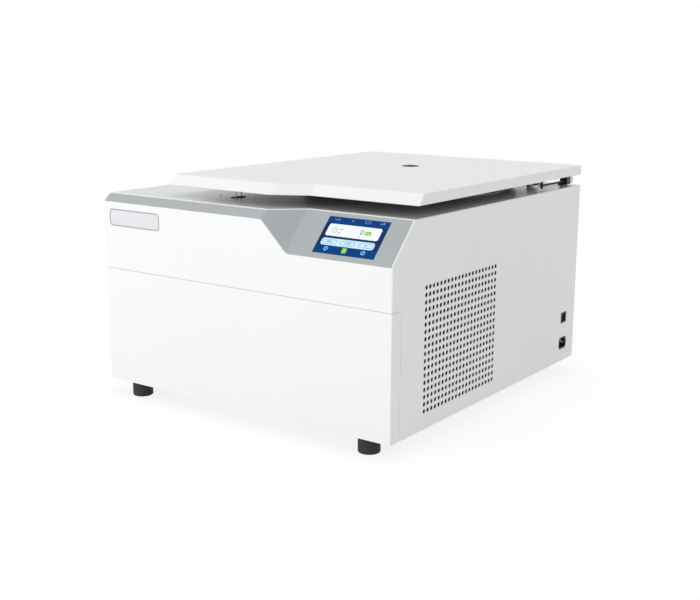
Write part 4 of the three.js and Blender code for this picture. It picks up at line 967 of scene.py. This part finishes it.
def hinge(side):
    """A hinge: the lid's half, the bracket on the deck, and the pin through both."""
    arm_x = hinge_arm(side)
    bracket_x = lid_x(side, 25.3, 34.3)
    seat, shelf = HEIGHT + 0.3, 321
    head = arc(HINGE_AXIS, KNUCKLE, 0, 180, 12)
    profile = [(588.5, seat), (610.5, seat), *head, (597.5, shelf), (588.5, shelf)]
    bracket = slab("x", profile, bracket_x, 0.6, 0.6, [circle(3.3, 24, HINGE_AXIS)])
    piece(f"hinge_stand_{side}", bracket, "cabinet", dark, [f"hinge_bracket_{side}"])
    low, high = min(arm_x[0], bracket_x[0]), max(arm_x[1], bracket_x[1])
    socket = rod("x", HINGE_AXIS, 2.2, (low - 0.3, high + 0.3), 0.2, 6)
    pin = merge(rod("x", HINGE_AXIS, 3, (low, high), 0.5), socket)
    piece(f"hinge_rod_{side}", pin, "cabinet", stainless, [f"hinge_pin_{side}"])


def gas_spring(side):
    """A gas spring from its foot in the cabinet up to the lug's stud."""
    foot_y, foot_z = 560, 38
    back, rise = foot_y - SPRING_STUD[0], SPRING_STUD[1] - foot_z
    place = shifted(cad_middle(f"gas_spring_tube_{side}")[0], foot_y, foot_z, "X", math.atan2(back, rise))
    radius, bore, mouth = 9, 4.3, 170
    outside = [(0, 9), (6, 6), (radius, 14), (radius, mouth - 2), (8, mouth)]
    corners = [*outside, (bore, mouth), (bore, 30), (0, 30)]
    barrel = turned(corners, [0, 0, 2, 1.5, 0.5, 0, 0, 0], 4, sides=32)
    eye = slab("x", circle(radius, 32), (-5, 5), 0.6, 0.6, [circle(bore, 24)])
    tube = moved(merge(barrel, eye), place)
    piece(f"gas_tube_{side}", tube, f"gas_tube_{side}", dark, [f"gas_spring_tube_{side}"])
    top = math.hypot(back, rise) - 4.3
    corners = [(0, 40), (4, 40), (4, top - 14), (6, top - 14), (6, top), (0, top)]
    stem = moved(turned(corners, [0, 0.4, 0, 1.2, 1, 0], 4, sides=32), place)
    piece(f"gas_rod_{side}", stem, f"gas_rod_{side}", stainless, [f"gas_spring_rod_{side}"])
    dress(f"gas_spring_foot_{side}", zinc)


def latch():
    """The striker under the lid, and the frame, hook and motor under the deck."""
    x, y = cad_middle("latch_striker")[:2]
    bar, leg_top, half = 298, 334.5, 6.5
    corners = [(y - half, leg_top), (y - half, bar), (y + half, bar), (y + half, leg_top)]
    loop = wire([(x, leg_y, z) for leg_y, z in corners], 1.3, 2.6)
    flange = slab("z", panel(x, y, 18, 26, 2.5, 4), (UNDERSIDE - 2, UNDERSIDE), 0.2, 0.5)
    heads = [rod("z", (x, y + d), 1.8, (333, 334.2), 0.4, 16) for d in (-10.3, 10.3)]
    piece("latch_loop", merge(loop, flange, *heads), "lid", steel, ["latch_striker"])
    dress("latch_frame", dark, 0.3)
    dress("latch_hook", dark, 0.4)
    dress("latch_motor", black, 1.0)


# Mains inlet and switch

FLANGE = (WIDTH - 2, WIDTH)


def mains_inlet():
    _, y, z = cad_middle("mains_inlet")
    inner, half, back = 551, 12.0, 557.7
    corners = [
        (y - half, z - 8), (y + half, z - 8), (y + half, z + 3.5), (y + half - 4.5, z + 8),
        (y - half + 4.5, z + 8), (y - half, z + 3.5),
    ]
    socket = rounded(corners, [1.5, 1.5, 1, 1, 1, 1], 3)
    body_outline = panel(y, z, 27, 19.5, 1.5, 3)
    face = slab("x", panel(y, z, 30, 22, 7.0, 6), FLANGE, 0.7, 0.1, [socket])
    body = slab("x", body_outline, (inner, FLANGE[0]), 0.1, 0.5, [socket])
    end = slab("x", inset(turning(body_outline), 0.4), (inner, back), 0.0, 0.4)
    piece("inlet_body", merge(face, body, end), "cabinet", black, ["mains_inlet"])
    blades = [
        slab("x", panel(y + dy, z + dz, 2, 4, 0.4, 3), (557, 572), 0.7, 0)
        for dy, dz in ((-7, -0.5), (0, 3), (7, -0.5))
    ]
    piece("inlet_blades", merge(*blades), "cabinet", stainless)


def power_switch():
    """The switch's frame, and its tilted rocker with the marks for on and off."""
    _, y, z = cad_middle("switch_frame")
    pivot_x, split, inner = WIDTH - 4.6, 566, 557
    pocket = panel(y, z, 15, 14, 0.8, 3)
    body_outline = panel(y, z, 20, 17.5, 1, 3)
    face = slab("x", panel(y, z, 22, 19.5, 1.2, 4), FLANGE, 0.7, 0.1, [pocket])
    body = slab("x", body_outline, (split, FLANGE[0]), 0.1, 0.2, [pocket])
    end = slab("x", body_outline, (inner, split), 0.0, 0.5)
    pivot = rod("y", (pivot_x, z), 1, span(y, 20), 0.2, 16)
    piece("switch_body", merge(face, body, end, pivot), "cabinet", black, ["switch_frame"])

    place = shifted(pivot_x, y, z, "Y", math.radians(9))
    half, steps = 6.2, 6
    face = [(1 + (k / steps) ** 2, half * k / steps) for k in range(-steps, steps + 1)]
    outline = [(-2, -half), *face, (-2, half)]
    rocker = moved(slab("y", outline, (-6.8, 6.8), 0.5, 0.5, [circle(1.3, 20)]), place)
    piece("rocker", rocker, "power_rocker", black, ["power_rocker"])
    mark, ink = 3.7, (1.25, 1.42)
    off = slab("x", circle(1.35, 24, (0, -mark)), ink, holes=[circle(0.9, 20, (0, -mark))])
    on = slab("x", rectangle(span(0, 0.55), span(mark, 2.8)), ink)
    piece("rocker_marks", moved(merge(off, on), place), "power_rocker", white_ink)


# Chamber, rotor and buckets

ROTOR_BASE = 150.0
TRUNNION, TRUNNION_Z = 80, 84


def spun(shape, turns):
    """A shape turned about the rotor's axis by a number of quarter turns."""
    return moved(shape, shifted(axis="Z", angle=math.pi / 2 * turns))


def bowl():
    """The chamber's bowl with its rolled rim, the boot round the shaft, and the shaft."""
    hole, inner, outer, rim, low, top = 22, 160, 162, 174, 148, 318.3
    corners = [
        (hole, low), (outer, low), (outer, top), (rim, top), (rim, top + 2), (inner, top + 2),
        (inner, low + 2), (hole, low + 2),
    ]
    shape = turned(corners, [0, 14, 0, 0.9, 0.9, 2, 12, 0.4], 7, CHAMBER, 144)
    piece("bowl", shape, "cabinet", bowl_steel, ["chamber_bowl"])
    corners = [(13, 150.2), (30, 150.2), (30, 153), (22, 156), (18, 176), (13, 176)]
    boot = turned(corners, [0, 1, 1.2, 3, 1.5, 0.5], 5, CHAMBER, 48)
    piece("shaft_boot", boot, "cabinet", rubber)
    spindle = rod("z", CHAMBER, 12, (70.3, 248), 1.0, 48)
    piece("spindle", spindle, "rotor", steel, ["motor_shaft"])


def rotor(place):
    """The hub, four arms with pockets, and the pins that carry the buckets."""
    corners = [(12.3, 52), (30, 52), (32, 60), (32, 100), (28, 108), (0, 108), (0, 98.3), (12.3, 98.3)]
    parts = [turned(corners, [0.5, 1.5, 4, 4, 2, 0, 0, 0], 5)]
    corners = [(14, -12), (84, -12), (113, -17), (113, 17), (84, 12), (14, 12)]
    arm = slab("z", rounded(corners, [0, 8, 3, 3, 8, 0], 5), (66, 102), 2.0, 2.0)
    pocket = slab("z", rounded(rectangle((40, 98), (-6, 6)), 5.5, 6), (101.6, 102.6), 0.4, 0)
    pins = [rod("y", (TRUNNION, TRUNNION_Z), 5, ends, 1.0, 28) for ends in ((41.5, 66), (-66, -41.5))]
    for quarter in range(4):
        parts += [spun(arm, quarter + 0.5), spun(pocket, quarter + 0.5)]
        parts += [spun(pin, quarter) for pin in pins]
    piece("rotor_body", moved(merge(*parts), place), "rotor", aluminium, ["swing_rotor"])
    nut = slab("z", circle(17, 6), (108.3, 122.3), 1.2, 0.8)
    cap = rod("z", (0, 0), 9, (110, 126.3), 1.5, 40)
    piece("rotor_nut_cap", moved(merge(nut, cap), place), "rotor", stainless, ["rotor_nut"])


def bucket():
    """A bucket about its swing axis: a flanged cup with two bands and two ears."""
    wall, bore, rim, low, top = 36, 33, 38, -72, 22
    corners = [
        (0, low), (wall, low), (wall, 16), (rim, 16), (rim, top), (bore, top), (bore, low + 3), (0, low + 3),
    ]
    parts = [turned(corners, [0, 10, 0, 0.8, 1.2, 1, 7, 0], 6, sides=72)]
    for h in (-52, -30):
        band = rectangle((wall - 1, wall + 0.6), (h, h + 3))
        parts.append(turned(band, [0, 0.7, 0.7, 0], 3, sides=72))
    for ends, top_edge, low_edge in (((35.5, 49), 1.0, 0.3), ((-49, -35.5), 0.3, 1.0)):
        parts.append(slab("y", circle(9, 40), ends, top_edge, low_edge, [circle(5.3, 28)]))
    return merge(*parts)


def chamber():
    bowl()
    place = shifted(*CHAMBER, ROTOR_BASE)
    rotor(place)
    shape = bucket()
    for i in range(4):
        turn = shifted(*CHAMBER, ROTOR_BASE, "Z", math.pi / 2 * i) @ shifted(TRUNNION, 0, TRUNNION_Z)
        name = f"bucket_{i + 1}"
        piece(f"{name}_cup", moved(shape, turn), name, aluminium, [name])


def inside():
    """What the casing hides keeps its CAD shape."""
    for node, material, width in (
        ("base_plate", zinc, 0.4),
        ("evaporator_jacket", copper, 0.5),
        ("chamber_insulation", foam, 1.0),
        ("guard_barrel", steel, 0.5),
        ("motor_damper", rubber, 0.8),
        ("motor_housing", dark, 1.0),
        ("display_module", dark, 0.5),
        ("control_board", board_green, 0.2),
        ("lid_armour_plate", steel, 0.5),
        ("compressor", dark, 1.2),
        ("condenser", dark, 0.2),
        ("fan_frame", black, 0.8),
        ("fan_blades", black, 0.4),
        ("discharge_pipe", copper, 0.2),
        ("drive_controller", aluminium, 0.8),
    ):
        dress(node, material, width)


cabinet()
deck()
feet()
bezel()
name_plate()
screen()
lid()
for side in SIDES:
    hinge(side)
    gas_spring(side)
latch()
mains_inlet()
power_switch()
chamber()
inside()

# Stage, light and camera


def seen_directly(tree):
    """1 where a camera, glossy or transmitted ray arrives, and 0 for the light of the scene."""
    rays = add_node(tree, "LightPath").outputs
    seen = rays["Is Camera Ray"]
    for ray in ("Is Glossy Ray", "Is Transmission Ray"):
        seen = add_node(tree, "Math", seen, rays[ray], operation="MAXIMUM").outputs[0]
    return seen


def floor():
    """A wide pale floor that looks nearly white and still takes the object's shadow."""
    reach, glow, glow_share = 9.0, 1.12, 0.72
    mesh = bpy.data.meshes.new("floor")
    corners = [(x, y, 0) for x, y in rectangle((-reach, reach), (-reach, reach))]
    mesh.from_pydata(corners, [], [[0, 1, 2, 3]])
    ground = new_object("floor", mesh)
    paper = bpy.data.materials.new("floor_paper")
    paper.use_nodes = True
    tree = paper.node_tree
    shader = tree.nodes["Principled BSDF"]
    connect(tree, shader, Base_Color=(0.8, 0.8, 0.8, 1), Roughness=0.9, Specular_IOR_Level=0.0)
    lit = add_node(tree, "Emission", Strength=glow)
    share = add_node(tree, "Math", seen_directly(tree), glow_share, operation="MULTIPLY")
    mix = add_node(tree, "MixShader", share.outputs[0], shader.outputs[0], lit.outputs[0])
    connect(tree, tree.nodes["Material Output"], Surface=mix.outputs[0])
    mesh.materials.append(paper)


def studio():
    """A soft even world, which looks white where it is seen."""
    world = bpy.data.worlds.new("studio")
    bpy.context.scene.world = world
    world.use_nodes = True
    tree = world.node_tree
    tree.nodes.clear()
    soft = add_node(tree, "Background", Color=(1, 1, 1, 1), Strength=0.83)
    bright = add_node(tree, "Background", Color=(1, 1, 1, 1))
    mix = add_node(tree, "MixShader", seen_directly(tree), soft.outputs[0], bright.outputs[0])
    add_node(tree, "OutputWorld", Surface=mix.outputs[0])


def key_light():
    """A wide lamp in front and to the left, aimed at the middle of the cabinet."""
    lamp = bpy.data.lights.new("key", "AREA")
    lamp.shape = "RECTANGLE"
    lamp.size, lamp.size_y = 2.2, 1.6
    lamp.energy = 38
    key = new_object("key", lamp)
    key.location = (-1.1, -3.4, 0.9)
    key.rotation_mode = "QUATERNION"
    key.rotation_quaternion = (Vector((0, 0, 0.2)) - key.location).to_track_quat("-Z", "Y")


def camera():
    """The photo's camera, as fitted to the cabinet's corners."""
    azimuth, elevation, roll = math.radians(35.595), math.radians(12.525), 0.0062563
    picture_width, focal_pixels, film_width = 700, 1100.218, 36
    place = Vector((1.1040074, -1.5471011, 0.5687740))
    reach = math.cos(elevation)
    back = Vector((math.sin(azimuth) * reach, -math.cos(azimuth) * reach, math.sin(elevation)))
    across = Vector((math.cos(azimuth), math.sin(azimuth), 0))
    up = back.cross(across)
    right = across * math.cos(roll) + up * math.sin(roll)
    above = up * math.cos(roll) - across * math.sin(roll)
    lens = bpy.data.cameras.new("camera")
    lens.sensor_width = film_width
    lens.lens = focal_pixels / picture_width * film_width
    lens.clip_start, lens.clip_end = 0.01, 60
    view = new_object("camera", lens)
    matrix = Matrix((right, above, back)).transposed().to_4x4()
    matrix.translation = place
    view.matrix_world = matrix
    bpy.context.scene.camera = view


floor()
studio()
key_light()
camera()
bpy.context.scene.view_settings.view_transform = "Standard"
